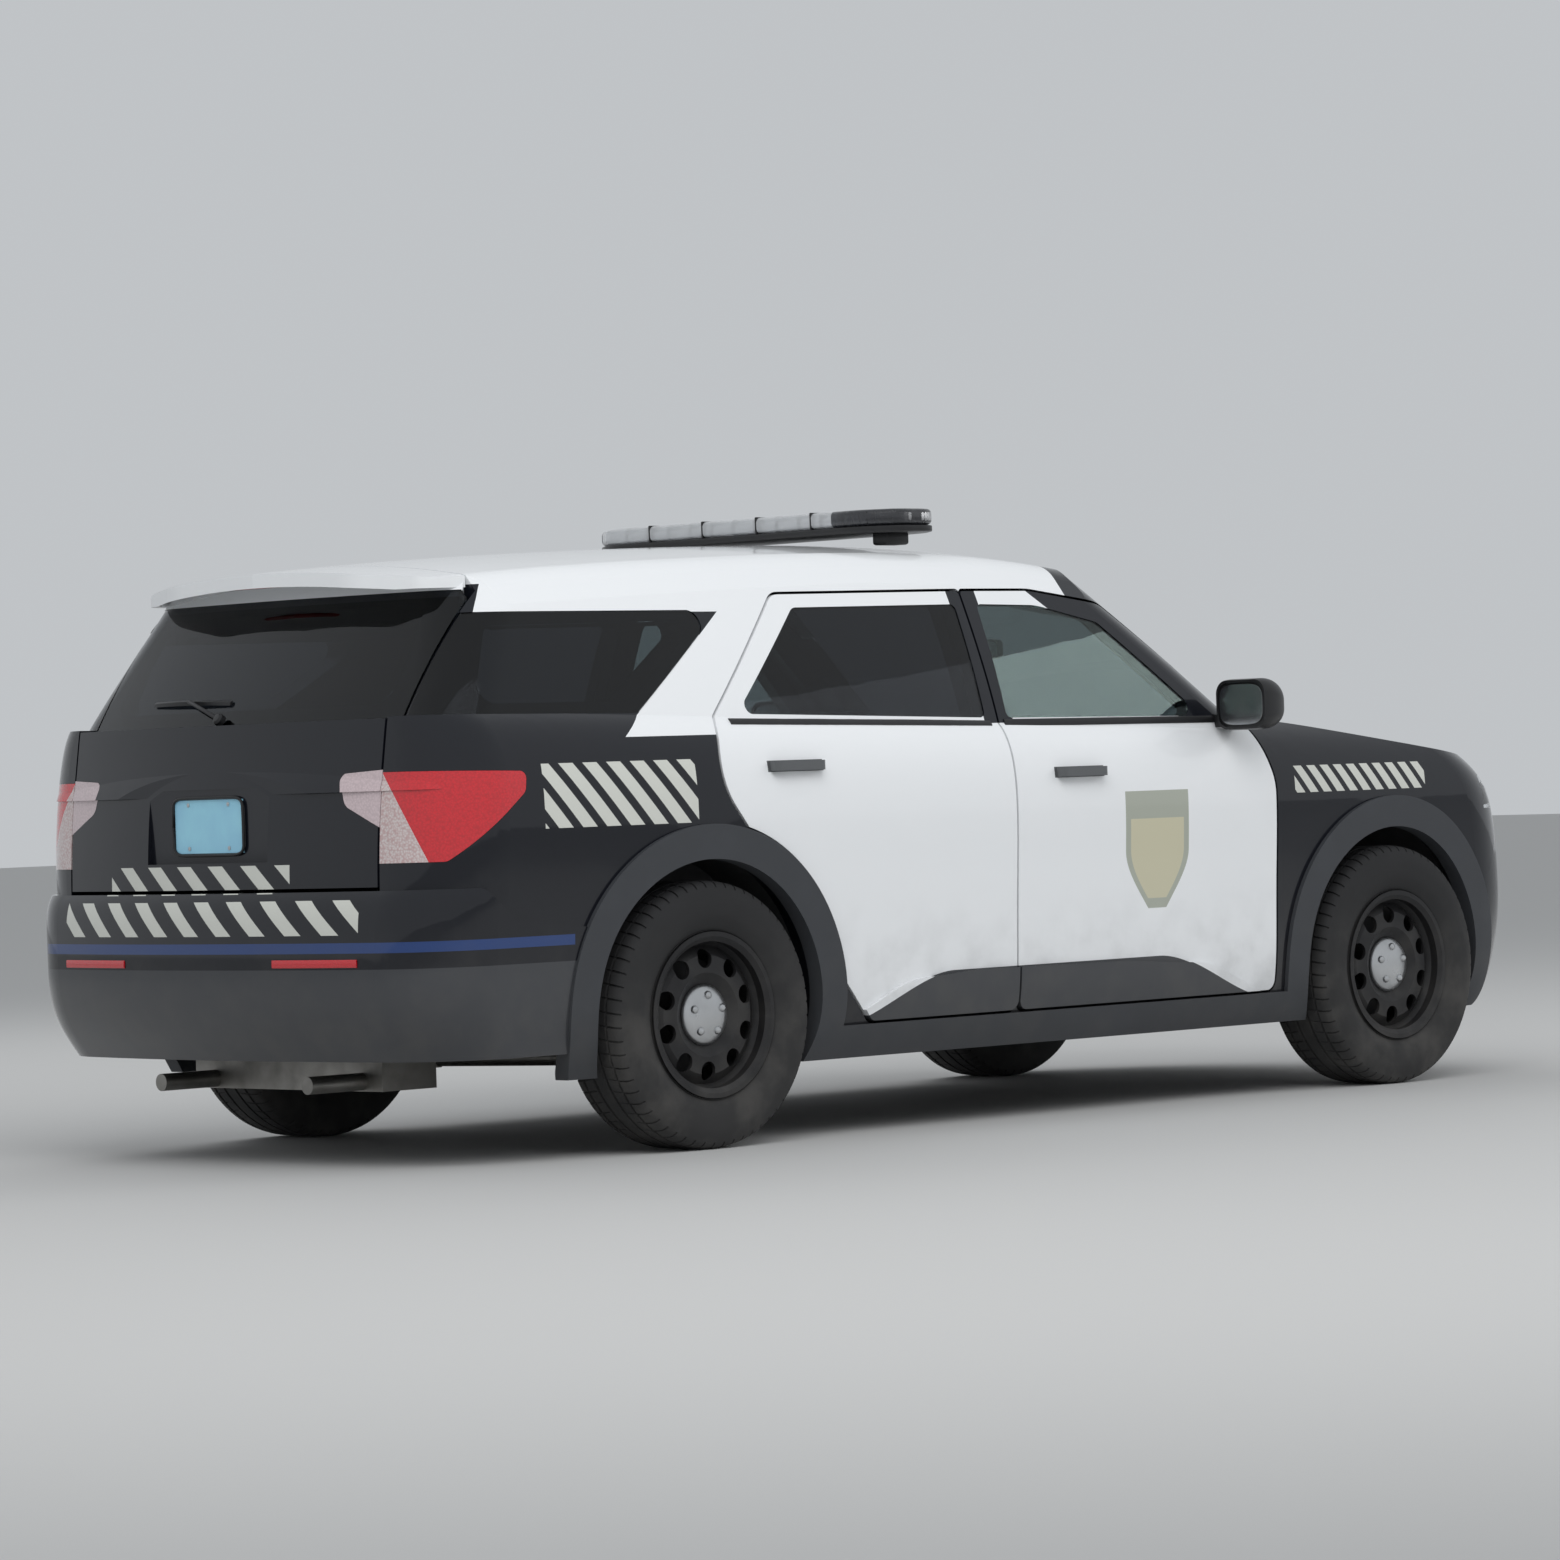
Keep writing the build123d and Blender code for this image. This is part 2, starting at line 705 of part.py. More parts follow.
def door(outline, window, grip):
    """A left door: full thickness with a stepped edge, window cut, and the raised cladding along its foot."""
    arch = wheel_disc(REAR_AXLE_X, ARCH_CLADDING + SHUT_GAP, SIDE_NEAR, SIDE_FAR)
    inner_arch = wheel_disc(REAR_AXLE_X, ARCH_CLADDING + SHUT_GAP + DOOR_STEP, SIDE_NEAR, SIDE_FAR)
    zone = side_prism(outline, SIDE_NEAR, SIDE_FAR) - arch
    foot = side_prism(DOOR_FOOT, SIDE_NEAR, SIDE_FAR)
    panel = one((SHELL & zone) - foot) + one((CLAD_OUTER - BACK) & zone & foot)
    inner_zone = side_prism(grown(outline, -DOOR_STEP), SIDE_NEAR - 10, SIDE_FAR + 10) - inner_arch
    step = (side_prism(grown(outline, DOOR_STEP), SIDE_NEAR, SIDE_FAR) - inner_zone) & SKIN_BACK
    panel = panel - step - side_prism(window, SIDE_NEAR, SIDE_FAR)
    return one(one(panel) + handle(*HANDLES[grip]))


def door_pane(window):
    return one(GLASS_SHELL & side_prism(window, SIDE_NEAR, SIDE_FAR))


def body_side():
    """The left side of the cabin: sill, pillars, roof rail and rear quarter, behind and around the doors."""
    front, foot = DOOR_FRONT_X + SHUT_GAP, LOWER_BODY[0][0] + 8
    zone = ((front, foot, 0), (front, 1900, 0), (-2900, 1900, 0), (-2900, foot, 0))
    cuts = [
        cladding_seat(),
        wheel_disc(REAR_AXLE_X, WELL_RADIUS_REAR, SIDE_NEAR, SIDE_FAR),
        box((-LENGTH, TAILGATE_TOP_X + SHUT_GAP), (0, TAILGATE_HALF + SHUT_GAP), (0, 1900)),
        side_prism(grown(TAIL_LAMP, LAMP_GAP), SIDE_NEAR, SIDE_FAR),
        SCREEN_OPENING,
        REAR_BUMPER_ZONE,
        side_prism(QUARTER_WINDOW, SIDE_NEAR, SIDE_FAR) - GLASS_SEAT,
        side_prism(QUARTER_APERTURE, SIDE_NEAR, SIDE_FAR),
    ]
    for outline in (FRONT_DOOR, REAR_DOOR):
        cuts.append(side_prism(grown(outline, SHUT_GAP), SIDE_NEAR, SIDE_FAR) - PILLAR_OUTER)
        cuts.append(side_prism(grown(outline, -APERTURE_LIP), SIDE_NEAR, SIDE_FAR))
    side = (OUTER - INNER) & side_prism(zone, ROOF_SEAM_Y, SIDE_FAR)
    for cut in cuts:
        side = side - cut
    for edge in (DOOR_FRONT_X, REAR_DOOR[0][0]):
        face = edge - DOOR_STEP + SEAT_GAP
        for low in (420, 720):
            side = side + box((face, face + HINGE_LEAF), (HINGE_FOOT_Y, HINGE_TIP_Y), (low, low + 80))
    for x in JACK_X:
        side = side + box((x - JACK_HALF, x + JACK_HALF), JACK_Y, (JACK_Z, foot + 10))
    return one(side)


SCREEN_OPENING = end_prism(SCREEN, 200, 1500)
REAR_BUMPER_ZONE = side_prism(REAR_BUMPER_SPLIT, -SIDE_FAR, SIDE_FAR)


def bumper_block(inset=0.0):
    sections = []
    for height, tail, half in REAR_BUMPER:
        level = height
        if inset and height == REAR_BUMPER[0][0]:
            level = height - inset
        if inset and height == BUMPER_TOP_Z:
            level = height - inset / 2
        bows = (NOSE_BOW, SIDE_BOW, TAIL_BOW - inset)
        sections.append(plan_outline(2000, tail + inset, half - inset, bows, (300, 270 - inset), level))
    return Solid.make_loft(sections)


def rear_bumper():
    cover = (bumper_block() - bumper_block(PANEL)) & REAR_BUMPER_ZONE
    cover = cover - box((REAR_AXLE_X, LENGTH), (-SIDE_FAR, SIDE_FAR), (0, LENGTH))
    cover = cover - box((BUMPER_SHELF_X, LENGTH), (-BUMPER_SHELF_Y, BUMPER_SHELF_Y), (0, LENGTH))
    arch = wheel_disc(REAR_AXLE_X, ARCH_CLADDING, SIDE_NEAR, SIDE_FAR)
    return one(cover - arch - right_of(arch))


def cladding():
    """Arch mouldings and sill moulding of the left side, in one piece."""
    zone = cladding_zone(SEAT_GAP)
    for x in (FRONT_AXLE_X, REAR_AXLE_X):
        zone = zone - wheel_disc(x, ARCH_OPENING, SIDE_NEAR, SIDE_FAR)
    return one((CLAD_OUTER - lower_body(CLADDING_DEPTH - SEAT_GAP)) & zone)


def hood_zone(gap=0.0):
    """The hood's outline in plan, both sides, swept upwards."""
    right = tuple((x, -y, r) for x, y, r in HOOD[::-1])
    outline = HOOD + (HOOD_NOSE,) + right + (HOOD_REAR,)
    return plan_prism(grown(outline, gap), 600, 1500)


def hood():
    return one((OUTER - bonnet_block(HOOD_THICK)) & hood_zone())


def intake_slats():
    """Bars across the lower intake."""
    return Compound([box((2000, 2900), (-600, 600), (z, z + INTAKE_SLAT)) for z in INTAKE_SLATS])


def headlamp_zone(gap=0.0):
    return end_prism(grown(HEADLAMP, gap), HEADLAMP_REAR_X - gap, 2900)


def fender():
    back = DOOR_FRONT_X + SHUT_GAP
    zone = side_prism(((back, 233, 0), (back, 1300, 0), (2400, 1300, 0), (2400, 233, 0)), SIDE_NEAR, SIDE_FAR)
    cuts = [
        side_prism(BUMPER_SPLIT, SIDE_NEAR, SIDE_FAR),
        hood_zone(HOOD_GAP),
        headlamp_zone(LAMP_GAP),
        cladding_seat(),
        wheel_disc(FRONT_AXLE_X, WELL_RADIUS_FRONT, SIDE_NEAR, SIDE_FAR),
        SCREEN_OPENING,
    ]
    wing = SHELL & zone
    for cut in cuts:
        wing = wing - cut
    return one(wing)


def front_bumper():
    lamp = headlamp_zone(LAMP_GAP)
    arch = wheel_disc(FRONT_AXLE_X, ARCH_CLADDING, SIDE_NEAR, SIDE_FAR)
    cuts = [
        hood_zone(HOOD_GAP),
        end_prism(grown(GRILLE, LAMP_GAP), 2000, 2900),
        end_prism(INTAKE, 2000, 2900) - intake_slats(),
        lamp,
        right_of(lamp),
        arch,
        right_of(arch),
    ]
    cover = SHELL & side_prism(BUMPER_SPLIT, -SIDE_FAR, SIDE_FAR)
    for cut in cuts:
        cover = cover - cut
    return one(cover)


def grille():
    panel = (lower_body(10) - lower_body(35)) & end_prism(GRILLE, 2000, 2900) & bonnet_block(PANEL)
    left, right, low, high = GRILLE_OPENING
    wide, tall = (right - left) / CELL_COLUMNS, (high - low) / CELL_ROWS
    cells = []
    for row in range(CELL_ROWS):
        for column in range(CELL_COLUMNS):
            y, z = left + column * wide, low + row * tall
            lean = CELL_LEAN if y >= 0 else -CELL_LEAN
            top, inner, outer = z + tall - SLAT, y + RIB, y + wide
            corners = ((inner, z, 0), (outer, z, 0), (outer + lean, top, 0), (inner + lean, top, 0))
            cells.append(end_prism(corners, 2000, 2900))
    return one(one(panel) - cells)


def headlamp():
    return one((SHELL & headlamp_zone()) - hood_zone(HOOD_GAP))


def tail_lamp():
    return one(SHELL & side_prism(TAIL_LAMP, TAILGATE_HALF + SHUT_GAP, SIDE_FAR))


def gate_lamp_zone(gap=0.0):
    return end_prism(grown(GATE_LAMP, gap), -2900, -2300)


def tailgate():
    lamp = gate_lamp_zone(LAMP_GAP)
    half, tall = PLATE_RECESS_WIDTH / 2, PLATE_RECESS_HEIGHT / 2
    cuts = [
        end_prism(BACKLIGHT, -2900, BACKLIGHT_FRONT_X) - GLASS_SEAT,
        end_prism(BACKLIGHT_APERTURE, -2900, BACKLIGHT_FRONT_X),
        lamp,
        right_of(lamp),
        box((-2900, PLATE_RECESS_X), (-half, half), (PLATE_Z - tall, PLATE_Z + tall)),
    ]
    gate = SHELL & side_prism(TAILGATE, -TAILGATE_HALF, TAILGATE_HALF)
    for cut in cuts:
        gate = gate - cut
    spoiler = (roof_block() - roof_block(SPOILER_THICK)) & plan_prism(SPOILER, SPOILER_FOOT_Z, 1900)
    return one(one(gate) + spoiler)


def backlight():
    return one(GLASS_SHELL & end_prism(BACKLIGHT, -2900, BACKLIGHT_FRONT_X))


def gate_lamp():
    return one(SHELL & gate_lamp_zone())


def windscreen():
    return one(GLASS_SHELL & SCREEN_OPENING)


def quarter_pane():
    return one(GLASS_SHELL & side_prism(QUARTER_WINDOW, TAILGATE_HALF + SHUT_GAP, SIDE_FAR))


def roof_panel():
    zone = box((TAILGATE_TOP_X + SHUT_GAP, 1200), (-ROOF_SEAM_Y, ROOF_SEAM_Y), (1500, 1900))
    panel = one((SHELL & zone) - SCREEN_OPENING)
    face = TAILGATE_TOP_X + SEAT_GAP
    for y in (-280, 280):
        panel = panel + box((face, face + 2 * SHUT_GAP), (y - 30, y + 30), (1645, 1665))
    return panel


def wheel_houses():
    """Liners over the rear wheels, left side."""
    shell = wheel_disc(REAR_AXLE_X, WELL_RADIUS_REAR + WELL_WALL, REAR_WELL_Y - WELL_WALL, SIDE_FAR)
    shell = shell - wheel_disc(REAR_AXLE_X, WELL_RADIUS_REAR, REAR_WELL_Y, SIDE_FAR + 10)
    return shell & box((-LENGTH, 0), (0, SIDE_FAR), (420, LENGTH)) & CABIN_SPACE


def floor():
    """The pan, the tunnel over its slot, and the liners over the rear wheels."""
    half, space, gap = TUNNEL_HALF, TUNNEL_HALF - TUNNEL_WALL, SEAT_GAP
    slot = box((-1100, 1100), (-space, space), (200, TUNNEL_TOP_Z - TUNNEL_ROOF))
    tunnel = box((TUNNEL_END_X, BULKHEAD_X), (-half, half), (FLOOR_LOW_Z, TUNNEL_TOP_Z)) - slot
    seat = box((TUNNEL_END_X - gap, LENGTH), (-half - gap, half + gap), (0, TUNNEL_TOP_Z))
    well = wheel_disc(REAR_AXLE_X, WELL_RADIUS_REAR, REAR_WELL_Y, SIDE_FAR)
    well = well + wheel_disc(REAR_AXLE_X, WELL_RADIUS_REAR + WELL_WALL + gap, REAR_WELL_Y - WELL_WALL - gap, SIDE_FAR)
    pan = side_prism(FLOOR, -SIDE_FAR, SIDE_FAR) & CABIN_SPACE
    pan = one(pan - slot - seat - well - right_of(well))
    house = one(wheel_houses())
    return Compound([pan, one(tunnel), house, one(right_of(house))])


def front_structure():
    """Bulkhead, cowl, inner wings, rails and radiator support, all behind the front panels."""
    x = FRONT_AXLE_X
    back, front = BULKHEAD_X, BULKHEAD_X + BULKHEAD_THICK
    wall = box((back, front), (-SIDE_FAR, SIDE_FAR), (FLOOR_LOW_Z, 1120))
    cowl = box((1020, 1040), (-600, 600), (1085, 1115)) + box((1036, 1260), (-760, 760), (1085, 1115))
    bay = (wall & CABIN_SPACE) + cowl
    near, far = FRONT_WELL_Y - WELL_WALL, FRONT_WELL_Y
    left = box((front, 2250), (near, far), (430, 900)) + box((front, 2340), (430, near), (430, 540))
    well = wheel_disc(x, WELL_RADIUS_FRONT + WELL_WALL, near, 835)
    well = well - wheel_disc(x, WELL_RADIUS_FRONT, far, 900)
    left = left + (well & box((1034, 2230), (0, 900), (300, 1100)))
    left = left + box((x - 110, x + 110), (near, 700), (TOP_MOUNT[2] + 12, TOP_MOUNT[2] + 40))
    left = left - steering_pin(TOP_MOUNT[2] - 20, TOP_MOUNT[2] + 80, STRUT_STEM + RUNNING_FIT)
    left = left + box((1400, 1480), (ENGINE_HALF, 440), (450, 520))
    left = left + (box((1140, 1170), (640, 690), (1100, 1300)) & bonnet_block(HOOD_THICK + SEAT_GAP))
    bay = bay + left + right_of(left)
    bay = bay + box((2225, 2255), (-620, 620), (330, 960))
    bay = bay + box((2300, 2340), (-560, 560), (430, 540))
    return one(bay)


def spin(points):
    """A profile of (radius, y) points turned about the wheel's axle, which is the Y axis."""
    corners = [Vector(radius, y, 0) for radius, y in points]
    edges = [Edge.make_line(a, b) for a, b in zip(corners, corners[1:] + corners[:1])]
    return revolve(Face(Wire(edges)), Axis.Y)


def mirrored(points):
    """A run of a wheel's profile on the other side of its middle."""
    return [(radius, -y) for radius, y in points]


def tyre():
    r, w = RIM_RADIUS, TYRE_WIDTH / 2
    bead = ((r - 6, w - 24), (r + 11, w - 24), (r + 22, w - 6))
    outside = (*bead, (300, w), (348, w - 4), (370, w - 16), (TYRE_RADIUS, w - 38))
    inside = ((364, w - 40), (350, w - 20), (300, w - 14), (r + 14, w - 36), (r - 6, w - 38))
    return one(spin([*mirrored(outside), *outside[::-1], *inside[::-1], *mirrored(inside)]))


def rim():
    """Steel wheel with its hub, stub axle and brake disc; its outer face is towards +Y."""
    r, w, f = RIM_RADIUS, RIM_WIDTH / 2, WHEEL_FACE_Y
    outside = ((r + 8, w), (r + 8, w - 6), (r - 7, w - 10), (r - 7, w - 40), (r - 22, w - 60))
    inside = ((r - 36, w - 60), (r - 20, w - 36), (r - 20, w - 10), (r - 6, w))
    barrel = spin([*outside, *mirrored(outside[::-1]), *mirrored(inside[::-1]), *inside])
    face = spin((
        (0, f - 12), (80, f - 12), (120, f + 14), (170, f + 10), (r - 30, f - 8),
        (r - 30, f), (170, f + 22), (120, f + 26), (80, f), (0, f),
    ))
    for k in range(VENT_PAIRS):
        for spread in (-VENT_SPREAD, VENT_SPREAD):
            a = math.tau * k / VENT_PAIRS + spread
            x, z = VENT_CIRCLE * math.cos(a), VENT_CIRCLE * math.sin(a)
            face = face - rod((x, 0, z), (x, 150, z), VENT_RADIUS)
    stub = ((0, STUB_END), (STUB, STUB_END), (STUB, -55), (60, -55), (60, -20))
    hub = spin((*stub, (HUB_RADIUS, -20), (HUB_RADIUS, f - 12), (0, f - 12)))
    (back, front), c = DISC_FACES, CAP_RADIUS
    disc = spin(((HUB_RADIUS, back), (DISC_RADIUS, back), (DISC_RADIUS, front), (HUB_RADIUS, front)))
    cap = spin(((0, f), (c, f), (c, f + 8), (c - 8, f + 18), (c - 36, f + 27), (0, f + CAP_HEIGHT)))
    return one(barrel + face + hub + disc + cap)


def steering_point(z):
    """The point of the steering axis at a height."""
    (x, by, bz), (_, ty, tz) = BALL_JOINT, TOP_MOUNT
    return (x, by + (ty - by) * (z - bz) / (tz - bz), z)


def steering_pin(low, high, radius):
    return rod(steering_point(low), steering_point(high), radius)


def hub_carrier(x):
    """A left hub carrier's boss, bored for the stub axle."""
    y = TRACK / 2
    boss = rod((x, y + CARRIER_BACK, AXLE_Z), (x, y + CARRIER_FRONT, AXLE_Z), 58)
    return boss - rod((x, y + STUB_END - 6, AXLE_Z), (x, y, AXLE_Z), STUB + RUNNING_FIT)


def knuckle():
    """Left hub carrier with its strut, spring and steering arm, all turning about the steering axis."""
    x, y, z = FRONT_AXLE_X, TRACK / 2, AXLE_Z
    by, bz, tz = BALL_JOINT[1], BALL_JOINT[2], TOP_MOUNT[2]
    stud = steering_pin(bz - 22, bz + 10, BALL_STUD)
    low = box((x - 28, x + 28), (by - 25, by + 14), (bz + 6, z - 40)) + stud
    high = box((x - 24, x + 24), (steering_point(520)[1] - 10, y - 90), (z + 40, 530))
    strut = steering_pin(470, tz - 30, 27) + steering_pin(tz - 40, tz - 10, 46)
    strut = strut + steering_pin(tz - 20, tz + 36, STRUT_STEM)
    spring = steering_pin(640, 648, 66)
    for level in range(668, 800, 26):
        spring = spring + steering_pin(level, level + 11, 60)
    arm = box((x - 150, x), (y - 115, y - 85), (z - 75, z - 45))
    back, front = y + DISC_FACES[0] - DISC_CLEARANCE, y + DISC_FACES[1] + DISC_CLEARANCE
    slot = rod((x, back, z), (x, front, z), DISC_RADIUS + DISC_CLEARANCE)
    caliper = rod((x, y - 65, z), (x, y + 4, z), 190) - slot - rod((x, y - 80, z), (x, y + 10, z), 120)
    caliper = caliper & box((x - 250, x - 90), (0, 1000), (z - 75, z + 75))
    bridge = box((x - 170, x - 45), (y - 80, y - 65), (z - 30, z + 30))
    return one(hub_carrier(x) + low + high + strut + spring + arm + caliper + bridge)


def front_suspension():
    """Subframe, steering rack and lower arms."""
    x, by, bz = BALL_JOINT
    window = box((x - 110, x + 110), (-330, 330), (180, 320))
    frame = box((x - 170, x + 170), (-400, 400), (215, 290)) - window
    frame = frame + rod((x - 200, -380, 330), (x - 200, 380, 330), 30)
    left = box((x - 230, x - 165), (260, 300), (250, 330)) + box((x - 170, x + 170), (400, 470), (215, 430))
    outline = ((x - 150, 440, 0), (x + 150, 440, 0), (x + 26, by + 20, 20), (x - 26, by + 20, 20))
    opening = ((x - 80, 480, 15), (x + 80, 480, 15), (x + 24, 680, 10), (x - 24, 680, 10))
    arm = plan_prism(outline, bz - 24, bz - 2) - plan_prism(opening, bz - 60, bz + 60)
    left = left + arm - steering_pin(bz - 60, bz + 60, BALL_STUD + RUNNING_FIT)
    return one(frame + left + right_of(left))


def rear_suspension():
    """Subframe, final drive, arms, hub carriers and dampers."""
    x, y = REAR_AXLE_X, TRACK / 2
    window = box((x - 130, x + 130), (-500, 500), (300, 430))
    frame = box((x - 190, x + 190), (-560, 560), (330, 400)) - window
    final_drive = box((x - 130, x + 130), (-110, 110), (300, 412))
    frame = frame + final_drive + rod((x, -560, AXLE_Z), (x, 560, AXLE_Z), 24)
    left = box((x - 40, x + 40), (540, y - 90), (215, 245)) + box((x - 40, x + 40), (540, 560), (215, 340))
    left = left + hub_carrier(x) + box((x - 26, x + 26), (y - 115, y - 85), (225, AXLE_Z - 40))
    left = left + rod((x, 540, AXLE_Z), (x, y + CARRIER_BACK + 2, AXLE_Z), 18)
    left = left + box((x, x + 110), (560, 660), (215, 245)) + rod((x + 70, 610, 235), (x + 70, 600, 412), 40)
    for station in (x - 160, x + 160):
        left = left + rod((station, 530, 395), (station, 530, UNDERFLOOR_Z), 26)
    return one(frame + left + right_of(left))


def engine():
    return box((1180, 1790), (-ENGINE_HALF, ENGINE_HALF), (400, 960))


def exhaust():
    """Centre pipe, crosswise silencer, two tail pipes and their hangers."""
    level, pipe_r, joint_r = 231, 25, 28
    bends = ((970, 0), (-1090, 0), (-1240, 480), (-1650, 480), (-2010, 330))
    shape = box((-2200, -2000), (-420, 420), (203, 290))
    for a, b in zip(bends, bends[1:]):
        shape = shape + rod((*a, level), (*b, level), pipe_r)
    for x, y in bends[1:-1]:
        shape = shape + rod((x, y, level - joint_r), (x, y, level + joint_r), joint_r)
    for y in (-330, 330):
        shape = shape + rod((-2190, y, level), (-2400, y, level), pipe_r)
    for y in (-380, 380):
        shape = shape + rod((-2100, y, 285), (-2100, y, UNDERFLOOR_Z), 8)
    return one(shape + rod((-300, 0, level), (-300, 0, 395), 8))


def fuel_tank():
    return box((-1060, -500), (150, 560), (205, FLOOR_LOW_Z - SEAT_GAP))


def cushion(y, width, x, feet):
    """A seat's cushion on its feet; x is the foot of the backrest."""
    left, right = y - width / 2, y + width / 2
    outline = ((x + 20, 440, 0), (x + 520, 460, 40), (x + 520, 560, 40), (x, HIP, 0))
    shape = side_prism(outline, left, right)
    for place in feet:
        shape = shape + box((x + 90, x + 460), (place - 200, place + 200), (SEAT_BASE_Z, 450))
    return one(shape)


def backrest(y, width, x, places):
    """A leaning backrest with a headrest on two posts at each place."""
    outline = ((x - 60, 400, 30), (x + 60, 400, 30), (x - 130, 1080, 50), (x - 240, 1060, 40))
    pad = ((x - 270, 1110, 30), (x - 150, 1110, 30), (x - 160, 1250, 40), (x - 260, 1250, 40))
    shape = side_prism(outline, y - width / 2 + 12, y + width / 2 - 12)
    for place in places:
        shape = shape + side_prism(pad, place - 130, place + 130)
        for post in (place - 60, place + 60):
            shape = shape + box((x - 212, x - 198), (post - 7, post + 7), (1030, 1130))
    return one(shape)


def seats():
    """Two front seats and a rear bench, each a cushion and a backrest that touch at the hip."""
    rows = (
        (SEAT_Y, FRONT_SEAT_WIDTH, FRONT_SEAT_X, (SEAT_Y,)),
        (-SEAT_Y, FRONT_SEAT_WIDTH, FRONT_SEAT_X, (-SEAT_Y,)),
        (0, BENCH_WIDTH, BENCH_X, (BENCH_PLACE_Y, -BENCH_PLACE_Y)),
    )
    solids = []
    for y, width, x, places in rows:
        back = backrest(y, width, x, places)
        room = backrest(y, width + 60, x + SEAT_GAP, ())
        solids += [one(cushion(y, width, x, places) - room), back]
    return Compound(solids)


def dashboard():
    dash = side_prism(DASHBOARD, -SIDE_FAR, SIDE_FAR) & CABIN_SPACE
    console = side_prism(CONSOLE, -130, 130)
    column = rod(steer_point(700), steer_point(456), 32)
    bore = rod(steer_point(600), steer_point(380), STEER_SHAFT + RUNNING_FIT)
    return one(dash + console + column - bore)


STEER_TILT = Vector(-244, 0, 75)


def steer_point(x):
    """The point of the steering column's axis at a station."""
    hx, hy, hz = STEER_HUB
    return (x, hy, hz + (x - hx) * STEER_TILT.Z / STEER_TILT.X)


def steering_wheel():
    plane = Plane(Vector(*STEER_HUB), z_dir=STEER_TILT)
    ring = Solid.make_torus(180, 16, plane)
    shaft = Solid.make_cylinder(STEER_SHAFT, 150, plane.offset(-160))
    spokes = Solid.make_cylinder(62, 38, plane.offset(-19)) + shaft
    for angle in (0, 90, 180):
        bar = Solid.extrude(Face(Wire.make_rect(170, 34)), Vector(0, 0, 18)).moved(Location((95, 0, -9)))
        spokes = spokes + bar.moved(Location((0, 0, 0), (0, 0, angle))).moved(plane.location)
    return one(ring + spokes)


def light_bar():
    x, half, base = LIGHT_BAR_X, LIGHT_BAR_HALF, LIGHT_BAR_Z
    outline = (
        (x + LIGHT_BAR_DEEP, 120 - half, 90),
        (x + LIGHT_BAR_DEEP, half - 120, 90),
        (x + 60, half, 60),
        (x - 60, half, 60),
        (x - LIGHT_BAR_DEEP, half - 120, 90),
        (x - LIGHT_BAR_DEEP, 120 - half, 90),
        (x - 60, -half, 60),
        (x + 60, -half, 60),
    )
    foot = box((x - 50, x + 50), (half - 150, half - 80), (1650, base + 7))
    bar = plan_prism(outline, base, base + LIGHT_BAR_HEIGHT) + foot + right_of(foot)
    return one(bar - roof_block(-SEAT_GAP))


def mirror_housing():
    """Left door mirror: a rounded shell, open behind for the glass, on a foot at the door's front corner."""

    def section(x, y, half, z, tall, corner, inset=0):
        face = RectangleRounded(2 * (half - inset), 2 * (tall - inset), corner - inset)
        return Plane(origin=(x, y, z), x_dir=(0, 1, 0), z_dir=(1, 0, 0)) * face

    pod = loft([section(*row) for row in MIRROR])
    pod = pod - extrude(section(*MIRROR[0], inset=MIRROR_RIM), MIRROR_RIM)
    foot = end_prism(((900, 1158, 0), (1010, 1158, 15), (1010, 1192, 15), (900, 1200, 0)), 812, 900)
    return one((one(pod) + foot) - whole_body(-SEAT_GAP))


def number_plate():
    back, half, tall = PLATE_RECESS_X - SEAT_GAP, PLATE_WIDTH / 2, PLATE_HEIGHT / 2
    return box((back - PLATE_THICK, back), (-half, half), (PLATE_Z - tall, PLATE_Z + tall))


def at_wheel(shape, x, side):
    placed = shape.moved(Location((x, TRACK / 2, AXLE_Z)))
    return one(placed if side > 0 else right_of(placed))


def build():
    nodes = {
        "floor": floor(),
        "front_structure": front_structure(),
        "roof_panel": roof_panel(),
        "hood": hood(),
        "front_bumper": front_bumper(),
        "grille": grille(),
        "rear_bumper": rear_bumper(),
        "fenders": pair(fender()),
        "cladding": pair(cladding()),
        "fixed_glass": Compound([windscreen(), *pair(quarter_pane()).solids()]),
        "headlamps": pair(headlamp()),
        "tail_lamps": pair(tail_lamp()),
        "tailgate": tailgate(),
        "tailgate_glass": backlight(),
        "tailgate_lamps": pair(gate_lamp()),
        "number_plate": number_plate(),
        "light_bar": light_bar(),
        "seats": seats(),
        "dashboard": dashboard(),
        "steering_wheel": steering_wheel(),
        "engine": engine(),
        "front_suspension": front_suspension(),
        "rear_suspension": rear_suspension(),
        "exhaust": exhaust(),
        "fuel_tank": fuel_tank(),
    }
    handed = {
        "body_side": body_side(),
        "door_front": door(FRONT_DOOR, FRONT_WINDOW, "front"),
        "door_rear": door(REAR_DOOR, REAR_WINDOW, "rear"),
        "glass_front": door_pane(FRONT_WINDOW),
        "glass_rear": door_pane(REAR_WINDOW),
        "mirror": mirror_housing(),
        "knuckle": knuckle(),
    }
    for name, shape in handed.items():
        nodes[name + "_left"] = one(shape)
        nodes[name + "_right"] = one(right_of(shape))
    tyre_shape, rim_shape = tyre(), rim()
    for end, x in (("front", FRONT_AXLE_X), ("rear", REAR_AXLE_X)):
        for hand, side in (("left", 1), ("right", -1)):
            nodes[f"tyre_{end}_{hand}"] = at_wheel(tyre_shape, x, side)
            nodes[f"wheel_{end}_{hand}"] = at_wheel(rim_shape, x, side)
    return nodes


